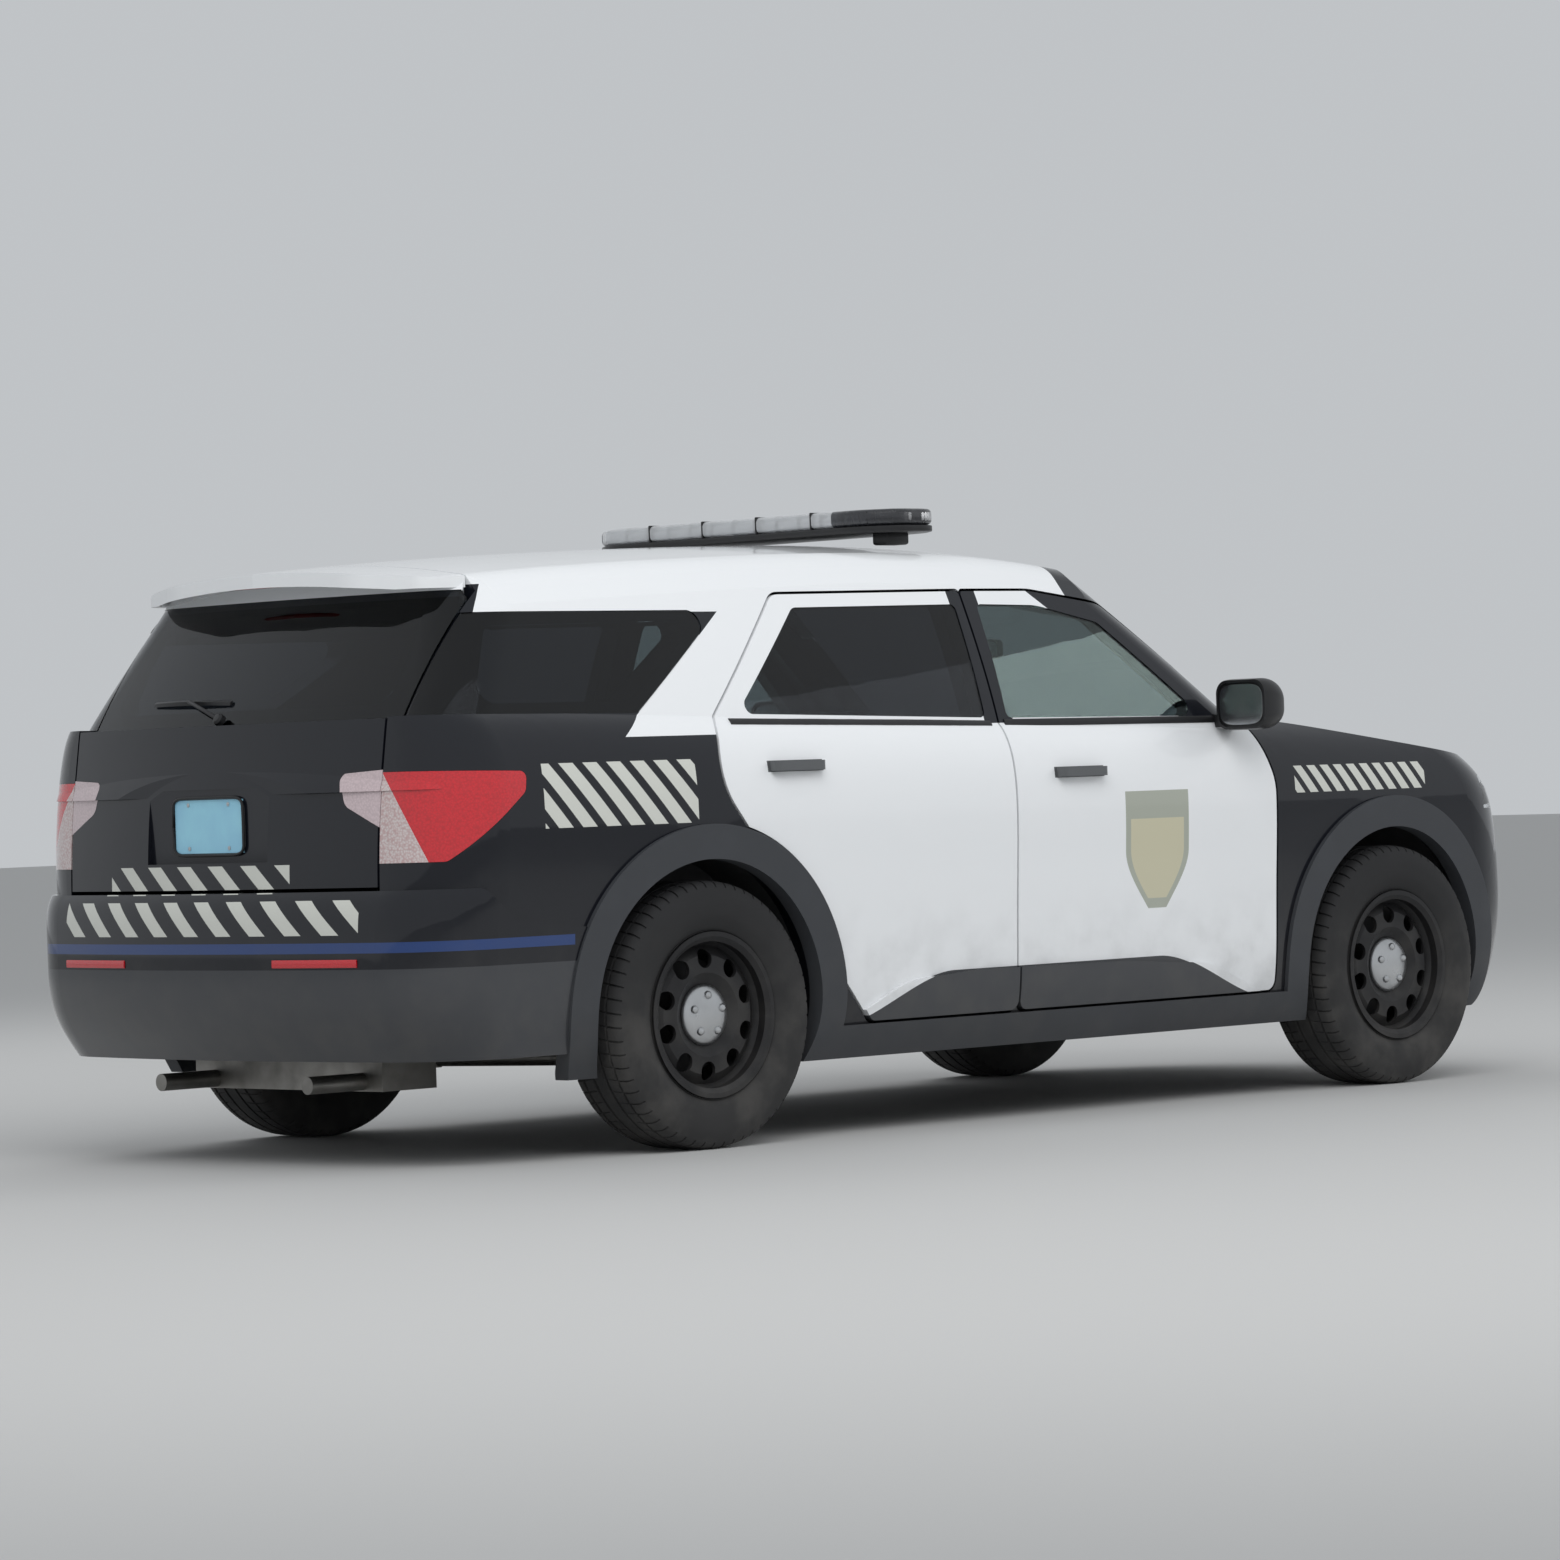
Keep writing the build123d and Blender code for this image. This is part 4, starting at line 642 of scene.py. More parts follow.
# Tyres: tread blocks between four grooves, round shoulders and ribbed sidewalls
TYRE_HALF = 0.125
TYRE_RADIUS = 0.382
RIM_RADIUS = 0.229
TREAD_GROOVES = (-0.072, -0.026, 0.026, 0.072)
GROOVE_HALF = 0.005
GROOVE_DEPTH = 0.008
TREAD_PITCHES = 60
TREAD_STATIONS = ((0.0, 0), (0.03, 1), (0.13, 1), (0.16, 0), (0.58, 0))
TREAD_LEAN = 0.455
CROSS_GROOVE_DEPTH = GROOVE_DEPTH * 0.8
CROSS_GROOVES_FROM = 0.034
SIDE_RIB = 0.0012
SIDE_RIB_POINTS = (2, 3, 6)


def tyre_columns():
    """The tyre's section as columns of offset from its middle, radius, and whether cross grooves cut it."""
    half = TYRE_HALF
    inner = [(half - 0.042, 0.364), (half - 0.022, 0.350), (half - 0.016, 0.300),
             (half - 0.036, RIM_RADIUS + 0.014), (half - 0.038, RIM_RADIUS - 0.004),
             (half - 0.014, RIM_RADIUS + 0.012)]
    wall = bezier((half - 0.020, RIM_RADIUS + 0.012), (half + 0.013, 0.300), (half - 0.008, 0.362), 9)
    shoulder = bezier((half - 0.008, 0.362), (half - 0.014, 0.377), (half - 0.034, 0.380), 5)[1:]
    section = [(offset, radius, False) for offset, radius in inner]
    section += [(offset + SIDE_RIB * (index in SIDE_RIB_POINTS), radius, False)
                for index, (offset, radius) in enumerate(wall)]
    section += [(offset, radius, offset < half - 0.010) for offset, radius in shoulder]
    tread = [(groove + share * GROOVE_HALF, TYRE_RADIUS - cut * GROOVE_DEPTH, not cut)
             for groove in TREAD_GROOVES for share, cut in ((-1.0, 0), (-0.7, 1), (0.7, 1), (1.0, 0))]
    return [(-offset, radius, crossed) for offset, radius, crossed in section] + tread + section[::-1]


def tyre_mesh(centre):
    columns = tyre_columns()
    rings = []
    for pitch in range(TREAD_PITCHES):
        for share, cut in TREAD_STATIONS:
            ring = []
            for offset, radius, crossed in columns:
                lean = TREAD_LEAN * abs(offset) / TYRE_HALF
                angle = (pitch + share + lean) * 2 * math.pi / TREAD_PITCHES
                if cut and crossed and abs(offset) > CROSS_GROOVES_FROM:
                    radius -= CROSS_GROOVE_DEPTH
                ring.append((centre[0] + radius * math.cos(angle), centre[1] + offset,
                             centre[2] + radius * math.sin(angle)))
            rings.append(ring)
    return grid_mesh(rings, ring_rows=True, ring_columns=True)


# Wheels: a silver cap over the hub with five domes
CAP_PROFILE = ((0.0, 0.061), (0.040, 0.0605), (0.0855, 0.061), (0.0868, 0.064), (0.0862, 0.0705),
               (0.079, 0.0805), (0.062, 0.0865), (0.040, 0.0918), (0.024, 0.0945), (0.0, 0.0955))
DOME_CIRCLE = 0.056
DOME_RADIUS = 0.0125
DOME_HEIGHT = 0.012
DOME_SEAT = 0.0868


def dome_mesh(centre, side):
    turns = [math.pi / 2 * step / 5 for step in range(6)]
    profile = [(0.0, 0.0)] + [(DOME_RADIUS * math.cos(turn), DOME_HEIGHT * math.sin(turn)) for turn in turns]
    return spun_mesh([(radius, side * out) for radius, out in profile], 24, centre)


def hub_cap_mesh(centre, side):
    parts = [spun_mesh([(radius, side * out) for radius, out in CAP_PROFILE], 64, centre)]
    for dome in range(5):
        angle = 2 * math.pi * (dome + 0.25) / 5
        parts.append(dome_mesh((centre[0] + DOME_CIRCLE * math.cos(angle), centre[1] + side * DOME_SEAT,
                                centre[2] + DOME_CIRCLE * math.sin(angle)), side))
    return joined(parts)


def dress_wheels():
    for axle in AXLES:
        for side_name, side in SIDES:
            place = f"{axle}_{side_name}"
            centre, wheel = WHEEL_CENTRES[place], f"wheel_{place}"
            tyre = new_piece(f"treaded_tyre_{place}", tyre_mesh(centre), RUBBER, wheel, math.radians(50))
            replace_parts(tyre, f"tyre_{place}")
            new_piece(f"hub_cap_{place}", hub_cap_mesh(centre, side), BRIGHT_STEEL, wheel)


# Seats: foam pads under cloth, swollen by air, with sewn channels
PAD_VOXEL = 0.009
PAD_FRAMES = 20
PAD_CAP = 0.012
PAD_BEVEL = 0.028
AIR_PRESSURE = 4.0
SEAM_DEPTH = 0.009
SEAM_WIDTH = 0.011
SEAT_FOOT_X = {"front": -0.08, "bench": -1.01}
SEAT_HALF = {"front": 0.25, "bench": 0.645}
SEAT_PLACES = (("front", 0.4), ("front", -0.4), ("bench", 0.0))
CUSHION = ((0.075, 0.455), (0.505, 0.468), (0.508, 0.545), (0.075, 0.515))
BACKREST = ((-0.035, 0.455), (0.040, 0.455), (-0.140, 1.065), (-0.222, 1.050))
HEADREST = ((-0.262, 1.118), (-0.160, 1.118), (-0.168, 1.240), (-0.252, 1.240))
HEADREST_HALF = 0.12
BENCH_HEADREST_Y = 0.415
BOLSTER = 0.10
BENCH_SEAM_Y = 0.16
CUSHION_SEAM_X = 0.28
CUSHION_LOW_Z = 0.49
BACKREST_SEAMS_Z = (0.62, 0.78, 0.94)
AWAY = 10.0


def evaluated(piece):
    """A mesh of what the piece's modifiers make of it."""
    graph = bpy.context.evaluated_depsgraph_get()
    return bpy.data.meshes.new_from_object(piece.evaluated_get(graph))


def mesh_points(mesh):
    points = np.empty(len(mesh.vertices) * 3)
    mesh.vertices.foreach_get("co", points)
    return points.reshape(-1, 3)


def set_points(mesh, points):
    mesh.vertices.foreach_set("co", points.ravel())
    mesh.update()


def swollen(mesh):
    """The closed mesh as an even skin, blown up a little by a cloth simulation."""
    piece = linked("pad", mesh)
    even = piece.modifiers.new("even", "REMESH")
    even.mode = "VOXEL"
    even.voxel_size = PAD_VOXEL
    piece.data = evaluated(piece)
    piece.modifiers.clear()
    result = piece.data
    before = mesh_points(piece.data)
    cloth = piece.modifiers.new("air", "CLOTH")
    cloth.settings.use_pressure = True
    cloth.settings.uniform_pressure_force = AIR_PRESSURE
    cloth.settings.effector_weights.gravity = 0.0
    cloth.settings.quality = 4
    for step in range(1, PAD_FRAMES + 1):
        bpy.context.scene.frame_set(step)
    result = evaluated(piece)
    shift = mesh_points(result) - before
    length = np.linalg.norm(shift, axis=1, keepdims=True)
    shift *= np.minimum(1.0, PAD_CAP / np.maximum(length, 1e-9))
    set_points(result, before + shift)
    bpy.context.scene.frame_set(1)
    bpy.data.objects.remove(piece)
    return result


def sewn(mesh, lines):
    """Presses channels into a pad. Each line gives how far a point is from it."""
    points = mesh_points(mesh)
    normals = np.empty(len(mesh.vertices) * 3)
    mesh.vertices.foreach_get("normal", normals)
    normals = normals.reshape(-1, 3)
    press = np.zeros(len(points))
    for line in lines:
        press = np.maximum(press, np.exp(-(line(points) / SEAM_WIDTH) ** 2))
    set_points(mesh, points - normals * (press * SEAM_DEPTH)[:, None])
    return mesh


def pad_mesh(outline, half, origin_x, lines):
    """A pad from its outline in the side view: half wide to each side of its middle."""
    slab = slab_mesh(outline, 2 * half, PAD_BEVEL, lambda u, v, w: (origin_x + u, w - half, v), 4)
    return sewn(swollen(slab), lines)


def shifted(mesh, y):
    """A copy of the mesh, moved across the car."""
    copy = mesh.copy()
    points = mesh_points(copy)
    points[:, 1] += y
    set_points(copy, points)
    return copy


def soft_piece(name, mesh):
    piece = new_piece(name, mesh, SEAT_CLOTH, "body", math.radians(180))
    smooth = piece.modifiers.new("smooth", "SUBSURF")
    smooth.levels = smooth.render_levels = 1
    piece.data = evaluated(piece)
    piece.modifiers.clear()
    return piece


def seat_pads(kind, half):
    """The cushion, backrest and headrest of a seat on the car's middle line, with their seams."""
    foot = SEAT_FOOT_X[kind]
    seams = [lambda p: abs(abs(p[:, 1]) - (half - BOLSTER))]
    if kind == "bench":
        seams.append(lambda p: abs(abs(p[:, 1]) - BENCH_SEAM_Y))
    across = [lambda p: abs(p[:, 0] - (foot + CUSHION_SEAM_X)) + AWAY * (p[:, 2] < CUSHION_LOW_Z)]
    rungs = [lambda p, z=z: abs(p[:, 2] - z) + AWAY * (abs(p[:, 1]) > half - BOLSTER) for z in BACKREST_SEAMS_Z]
    return (pad_mesh(CUSHION, half, foot, seams + across),
            pad_mesh(BACKREST, half - 0.015, foot, seams + rungs),
            pad_mesh(HEADREST, HEADREST_HALF, foot, []))


def seat_hardware(label, foot, y):
    """Two posts under a headrest, and two rails and a frame under the cushion."""
    posts = [((foot - 0.211, y + way * 0.06 - 0.006, 1.03), (foot - 0.199, y + way * 0.06 + 0.006, 1.13))
             for way in (-1, 1)]
    new_piece(f"headrest_posts_{label}", blocks_mesh(posts, 0.004), BRIGHT_STEEL)
    stand = [((foot + 0.07, y - 0.21, 0.303), (foot + 0.46, y - 0.17, 0.345)),
             ((foot + 0.07, y + 0.17, 0.303), (foot + 0.46, y + 0.21, 0.345)),
             ((foot + 0.09, y - 0.20, 0.340), (foot + 0.45, y + 0.20, 0.462))]
    new_piece(f"seat_frame_{label}", blocks_mesh(stand, 0.008), CABIN_PLASTIC)


def dress_seats():
    pads = {kind: seat_pads(kind, half) for kind, half in SEAT_HALF.items()}
    cushions = []
    for number, (kind, y) in enumerate(SEAT_PLACES):
        cushion, backrest, headrest = pads[kind]
        cushions.append(soft_piece(f"seat_cushion_{number}", shifted(cushion, y)))
        soft_piece(f"seat_backrest_{number}", shifted(backrest, y))
        for place in (BENCH_HEADREST_Y, -BENCH_HEADREST_Y) if kind == "bench" else (y,):
            label = f"{kind}_left" if place > 0 else f"{kind}_right"
            soft_piece(f"headrest_{label}", shifted(headrest, place))
            seat_hardware(label, SEAT_FOOT_X[kind], place)
    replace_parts(cushions[0], "seats")


# Light bar: a dark tray, a row of lamp modules and a cover that is clear apart from one smoked part
LIGHT_BAR_X = -0.230
LIGHT_BAR_HALF = 0.670
LIGHT_BAR_DEEP = 0.150
LIGHT_BAR_Z = 1.778
LIGHT_BAR_TOP = 1.848
BAR_MODULES = 12
BAR_END = 0.09
BAR_FEET_Y = (-0.555, 0.555)
BAR_RIBS_Y = (-0.36, -0.12, 0.12, 0.36)


def bar_outline(inset=0.0):
    """The light bar in plan: a long body with chamfered ends."""
    half, deep = LIGHT_BAR_HALF - inset, LIGHT_BAR_DEEP - inset
    quarter = []
    for start, control, end in (((deep, half - 0.17), (deep, half - 0.10), (deep - 0.04, half - 0.055)),
                                ((0.085, half - 0.02), (0.06, half), (0.02, half))):
        quarter.extend((u, v) for u, v in bezier(start, control, end, 6))
    half_loop = quarter + [(-u, v) for u, v in quarter[::-1]]
    return half_loop + [(-u, -v) for u, v in half_loop]


def bar_slab(low, high, inset, bevel):
    return slab_mesh(bar_outline(inset), high - low, bevel, lambda u, v, w: (LIGHT_BAR_X + u, v, low + w), 3)


def bar_module(y, way, pitch):
    """The housing of one lamp module and its four emitters, on one face of the light bar."""
    near, far = sorted((LIGHT_BAR_X + way * 0.075, LIGHT_BAR_X + way * 0.118))
    housing = ((near, y - pitch * 0.44, LIGHT_BAR_Z + 0.022), (far, y + pitch * 0.44, LIGHT_BAR_Z + 0.058))
    face = LIGHT_BAR_X + way * 0.121
    low, high = sorted((face - way * 0.004, face))
    spots = [y + pitch * (lamp - 1.5) * 0.2 for lamp in range(4)]
    return housing, [((low, spot - 0.007, LIGHT_BAR_Z + 0.030), (high, spot + 0.007, LIGHT_BAR_Z + 0.050))
                     for spot in spots]


def dress_light_bar():
    feet = [((LIGHT_BAR_X - 0.048, y - 0.033, 1.742), (LIGHT_BAR_X + 0.048, y + 0.033, 1.782))
            for y in BAR_FEET_Y]
    tray = joined([bar_slab(LIGHT_BAR_Z, LIGHT_BAR_Z + 0.020, 0.0, 0.005), blocks_mesh(feet, 0.008)])
    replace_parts(new_piece("light_bar_tray", tray, TRIM_BLACK), "light_bar")
    pitch = 2 * (LIGHT_BAR_HALF - BAR_END) / BAR_MODULES
    housings, emitters = [], []
    for index in range(BAR_MODULES):
        for way in (-1, 1):
            housing, lamps = bar_module(-LIGHT_BAR_HALF + BAR_END + pitch * (index + 0.5), way, pitch)
            housings.append(housing)
            emitters += lamps
    new_piece("light_bar_modules", blocks_mesh(housings, 0.003), BRIGHT_STEEL)
    new_piece("light_bar_emitters", blocks_mesh(emitters, 0.001), CLEAR_LENS)
    spine = [((LIGHT_BAR_X - 0.05, -LIGHT_BAR_HALF + 0.10, LIGHT_BAR_Z + 0.020),
              (LIGHT_BAR_X + 0.05, LIGHT_BAR_HALF - 0.10, LIGHT_BAR_Z + 0.050))]
    new_piece("light_bar_spine", blocks_mesh(spine, 0.006), CABIN_PLASTIC)
    new_piece("light_bar_cover", bar_slab(LIGHT_BAR_Z + 0.021, LIGHT_BAR_TOP, 0.002, 0.014), COVER_CLEAR)
    ribs = [((LIGHT_BAR_X - 0.149, y - 0.004, LIGHT_BAR_Z + 0.018),
             (LIGHT_BAR_X + 0.149, y + 0.004, LIGHT_BAR_TOP + 0.002)) for y in BAR_RIBS_Y]
    new_piece("light_bar_ribs", blocks_mesh(ribs, 0.003), TRIM_BLACK)


# Belt mouldings that follow the doors' skin under the side windows
BELT_LINES = {"front": ((0.835, 1.184), (-0.140, 1.190)), "rear": ((-0.200, 1.190), (-1.270, 1.214))}
BELT_WIDTH = 0.022
BELT_OUT = 0.004
BELT_STEPS = 24
BELT_SECTION = ((-0.5, -1.0), (-0.5, 0.6), (-0.3, 1.0), (0.3, 1.0), (0.5, 0.6), (0.5, -1.0))


def belt_moulding(name, door, start, end, side):
    """A moulding along a line from one (x, z) point to another on a door's skin."""
    line = [[a + (b - a) * step / BELT_STEPS for a, b in zip(start, end)] for step in range(BELT_STEPS + 1)]
    rows = []
    for index, (x, z) in enumerate(line):
        before, after = line[max(index - 1, 0)], line[min(index + 1, BELT_STEPS)]
        run = Vector((after[0] - before[0], 0.0, after[1] - before[1])).normalized()
        up = Vector((-run.z, 0.0, run.x))
        point, normal = hit(door, (x, 3.0 * side, z), (0.0, -side, 0.0))
        across = (up - normal * up.dot(normal)).normalized()
        rows.append([point + across * (BELT_WIDTH * a) + normal * (BELT_OUT * b) for a, b in BELT_SECTION])
    new_piece(name, grid_mesh(rows, ring_columns=True, caps=True), TRIM_BLACK, door, math.radians(30))


def dress_windows():
    for side_name, side in SIDES:
        for axle, (start, end) in BELT_LINES.items():
            belt_moulding(f"belt_{axle}_{side_name}", f"door_{axle}_{side_name}", start, end, side)


# Mirrors: silvered glass in the housing
MIRROR_PLACE = (0.7935, 1.046, 1.226)


def dress_mirrors():
    x, y, z = MIRROR_PLACE
    for side_name, side in SIDES:
        pane = rounded_slab(0.088, 0.064, 0.004, 0.001, lambda u, v, w: (x - w, side * (y + u), z + v),
                            0.55, 10, 1)
        new_piece(f"mirror_glass_{side_name}", pane, MIRROR_SILVER, f"door_front_{side_name}")


# Inner trim that lies on a panel's inner face
def closed_sheet(front, back):
    """A closed mesh between two grids of as many rows and columns."""
    rows, columns = len(front), len(front[0])

    def spot(layer, row, column):
        return (layer * rows + row) * columns + column

    faces = []
    for row in range(rows - 1):
        for column in range(columns - 1):
            loop = [(row, column), (row, column + 1), (row + 1, column + 1), (row + 1, column)]
            faces.append([spot(0, *place) for place in loop])
            faces.append([spot(1, *place) for place in loop[::-1]])
    rim = [(0, column) for column in range(columns)] + [(row, columns - 1) for row in range(1, rows)]
    rim += [(rows - 1, column) for column in range(columns - 2, -1, -1)]
    rim += [(row, 0) for row in range(rows - 2, 0, -1)]
    for here, following in zip(rim, rim[1:] + rim[:1]):
        faces.append([spot(0, *here), spot(1, *here), spot(1, *following), spot(0, *following)])
    return mesh_over([line for grid in (front, back) for line in grid], faces)


def plateau(value, low, high, soft):
    """1 between low and high, falling smoothly to 0 over a soft edge."""
    share = min(max(min(value - low, high - value) / soft, 0.0), 1.0)
    return share * share * (3 - 2 * share)


TRIM_CLEAR = 0.0005
TRIM_EDGE = 0.003


def inner_trim(name, node, corners, way, depth, material, body, counts=(40, 30)):
    """A moulding on the face that rays along a way meet, over a four-cornered patch. Depth is a function of
    two shares, along the patch's first side and up its second."""
    way = Vector(way)
    corners = [Vector(corner) for corner in corners]
    front, back = [], []
    for v in (row / (counts[1] - 1) for row in range(counts[1])):
        low, high = corners[0].lerp(corners[3], v), corners[1].lerp(corners[2], v)
        front.append([])
        back.append([])
        for u in (column / (counts[0] - 1) for column in range(counts[0])):
            point, _ = hit(node, low.lerp(high, u), way)
            edge = plateau(u, 0.0, 1.0, 0.03) * plateau(v, 0.0, 1.0, 0.04)
            front[-1].append(point - way * (TRIM_EDGE + depth(u, v) * edge))
            back[-1].append(point - way * TRIM_CLEAR)
    new_piece(name, closed_sheet(front, back), material, body, math.radians(45))


def door_relief(u, v):
    """A door trim's depth: a roll at the belt, an armrest and a pocket at the foot."""
    roll = 0.016 * plateau(v, 0.80, 1.05, 0.08)
    armrest = 0.046 * plateau(v, 0.50, 0.60, 0.035) * plateau(u, 0.06, 0.62, 0.10)
    pocket = 0.026 * plateau(v, 0.05, 0.28, 0.05) * plateau(u, 0.14, 0.80, 0.06)
    return 0.010 + roll + armrest + pocket


def headliner_relief(u, v):
    return 0.009 + 0.004 * plateau(u, 0.30, 0.34, 0.02)


def gate_relief(u, v):
    recess = -0.004 * plateau(u, 0.40, 0.60, 0.02) * plateau(v, 0.10, 0.30, 0.04)
    return 0.012 + 0.008 * plateau(v, 0.55, 1.05, 0.12) + recess


def liner_relief(u, v):
    """A quilted pad: soft squares between pressed lines."""
    return 0.004 + 0.007 * plateau(u * 8 % 1.0, 0.0, 1.0, 0.22) * plateau(v * 6 % 1.0, 0.0, 1.0, 0.22)


# Corners of each door's trim in x and z, from its foot at the hinge's far side, round to its belt
DOOR_TRIMS = {
    "front": ((-0.085, 0.45), (0.930, 0.45), (0.930, 1.135), (-0.085, 1.140)),
    "rear": ((-0.780, 0.45), (-0.250, 0.45), (-0.250, 1.140), (-1.130, 1.150)),
}
RELEASE_Z = 0.985
SPEAKER_Z = 0.62
SPEAKER_RING = ((0.0, 0.0), (0.080, 0.0), (0.080, 0.004), (0.074, 0.008), (0.070, 0.005), (0.0, 0.007))
SWITCH_PITCH = 0.035


def door_fittings(axle, side_name, side):
    """The inner release, its surround, the speaker behind its grille and the window switches."""
    node = f"door_{axle}_{side_name}"
    (rear, _), (front, _), (ahead, _), _ = DOOR_TRIMS[axle]
    lever_x, speaker_x, switch_x = ahead - 0.16, front - 0.13, (rear + front) / 2 - 0.02
    release_y, speaker_y, switch_y = (
        hit(node, (x, 0.0, z), (0.0, side, 0.0))[0].y - side * depth
        for x, z, depth in ((lever_x, RELEASE_Z, 0.016), (speaker_x, SPEAKER_Z, 0.011),
                            (switch_x, 0.835, 0.045)))
    surround = rounded_slab(0.060, 0.026, 0.006, 0.0015,
                            lambda u, v, w: (lever_x + u, release_y - side * w, RELEASE_Z + v), 0.5, segments=1)
    lever = rounded_slab(0.042, 0.013, 0.009, 0.003, lambda u, v, w: (
        lever_x - 0.006 + u, release_y - side * (w + 0.007), RELEASE_Z + 0.002 + v))
    new_piece(f"release_surround_{axle}_{side_name}", surround, CABIN_PLASTIC, node)
    new_piece(f"release_{axle}_{side_name}", lever, BRIGHT_STEEL, node)
    ring = spun_mesh(SPEAKER_RING, 48)
    turn = Matrix.Rotation(math.pi if side > 0 else 0.0, 4, "Z")
    ring.transform(Matrix.Translation((speaker_x, speaker_y, SPEAKER_Z)) @ turn)
    new_piece(f"speaker_{axle}_{side_name}", ring, TRIM_BLACK, node)
    switches = [((x, switch_y - 0.008, 0.866), (x + 0.026, switch_y + 0.008, 0.876))
                for x in (switch_x - 0.05 + SWITCH_PITCH * k for k in range(3))]
    new_piece(f"window_switches_{axle}_{side_name}", blocks_mesh(switches, 0.002), TRIM_BLACK, node)


def level_patch(low_x, high_x, half_y, z):
    return [(low_x, -half_y, z), (high_x, -half_y, z), (high_x, half_y, z), (low_x, half_y, z)]


def dress_inside():
    for side_name, side in SIDES:
        for axle in AXLES:
            corners = [(x, 0.0, z) for x, z in DOOR_TRIMS[axle]]
            door = f"door_{axle}_{side_name}"
            inner_trim(f"door_trim_{axle}_{side_name}", door, corners, (0.0, side, 0.0), door_relief, DOOR_TRIM,
                       door, (56, 44))
            door_fittings(axle, side_name, side)
    upwards = (0.0, 0.0, 1.0)
    inner_trim("headliner", "roof_panel", level_patch(-1.95, 0.28, 0.60, 1.3), upwards, headliner_relief,
               HEADLINER, "body")
    gate_patch = [(-1.9, -0.50, 0.82), (-1.9, 0.50, 0.82), (-1.9, 0.50, 1.22), (-1.9, -0.50, 1.22)]
    inner_trim("gate_trim", "tailgate", gate_patch, (-1.0, 0.0, 0.0), gate_relief, DOOR_TRIM, "tailgate")
    inner_trim("hood_liner", "hood", level_patch(1.34, 2.16, 0.56, 0.8), upwards, liner_relief,
               HEADLINER, "hood", (97, 73))


def dress_inner_mirror():
    root, _ = hit("fixed_glass", (0.2, 0.0, 1.47), (1.0, 0.0, 0.0))
    x, y, z = root + Vector((-0.055, 0.0, -0.035))
    shell = rounded_slab(0.125, 0.034, 0.026, 0.008, facing(x - 0.013, y, z, 1), steps=10, segments=3)
    new_piece("inner_mirror", shell, TRIM_BLACK)
    pane = rounded_slab(0.117, 0.027, 0.002, 0.0005, facing(x - 0.0132, y, z), steps=10, segments=1)
    new_piece("inner_mirror_glass", pane, MIRROR_SILVER)
    stem = [(x + 0.012, y, z), (x + 0.03, y, z + 0.012), root + Vector((-0.006, 0.0, 0.0))]
    tube_piece("inner_mirror_stem", stem, 0.006, TRIM_BLACK)


# Headlamps: a dark bezel, two projectors in bright rings and a light guide, all inside the clear lens
PROJECTORS_Y = (0.700, 0.800)
PROJECTOR_Z = 0.917
PROJECTOR_RING = ((0.030, -0.020), (0.041, -0.004), (0.043, 0.004), (0.040, 0.006), (0.036, 0.002),
                  (0.026, -0.020))
PROJECTOR_DOME = ((0.0, -0.018), (0.030, -0.018), (0.031, -0.008), (0.026, 0.000), (0.015, 0.007), (0.0, 0.009))
BEZEL_ROWS = 5
BEZEL_COLUMNS = 25
BEZEL_DEPTHS = (0.050, 0.056)
GUIDE_POINTS = 13


def turned_to_front(profile, place, side=1):
    """A profile spun about Y, turned so that it faces forwards and put in its place."""
    mesh = spun_mesh(profile, 40)
    mesh.transform(Matrix.Translation(place) @ Matrix.Rotation(-side * math.pi / 2, 4, "Z"))
    return mesh


def behind_lens(y, z, depth):
    """The point so deep behind the headlamp's outer face."""
    return hit("headlamps", (3.0, y, z), (-1.0, 0.0, 0.0))[0] - Vector((depth, 0.0, 0.0))


def dress_headlamps():
    for side_name, side in SIDES:
        across = [side * (0.655 + 0.25 * column / (BEZEL_COLUMNS - 1)) for column in range(BEZEL_COLUMNS)]
        heights = [0.880 + 0.062 * row / (BEZEL_ROWS - 1) for row in range(BEZEL_ROWS)]
        front, back = ([[behind_lens(y, z, depth) for y in across] for z in heights] for depth in BEZEL_DEPTHS)
        new_piece(f"lamp_bezel_{side_name}", closed_sheet(front, back), TRIM_BLACK)
        places = [behind_lens(side * y, PROJECTOR_Z, 0.034) for y in PROJECTORS_Y]
        for name, profile, finish in (("rings", PROJECTOR_RING, BRIGHT_STEEL),
                                      ("projectors", PROJECTOR_DOME, CLEAR_LENS)):
            pair = joined([turned_to_front(profile, place) for place in places])
            new_piece(f"lamp_{name}_{side_name}", pair, finish)
        guide = [behind_lens(side * (0.660 + 0.235 * step / (GUIDE_POINTS - 1)), 0.950, 0.016)
                 for step in range(GUIDE_POINTS)]
        tube_piece(f"lamp_guide_{side_name}", guide, 0.0045, CLEAR_LENS)


# Dashboard: a screen, vents, two gauges, stalks and pedals
VENTS_Y = (-0.70, -0.25, 0.25, 0.70)
VENT_Z = 0.985
GAUGES_Y = (0.325, 0.475)
GAUGE_Z = 1.035
GAUGE_PROFILE = ((0.0, 0.0), (0.052, 0.0), (0.052, 0.012), (0.047, 0.014), (0.045, 0.006), (0.0, 0.006))
# Each pedal's name, place across and up, and half sizes
PEDALS = (("brake", 0.42, 0.470, 0.048, 0.026), ("throttle", 0.29, 0.455, 0.022, 0.060))
PEDAL_SLOPE = 0.45


def dash_x(y, z):
    return hit("dashboard", (0.2, y, z), (1.0, 0.0, 0.0))[0].x


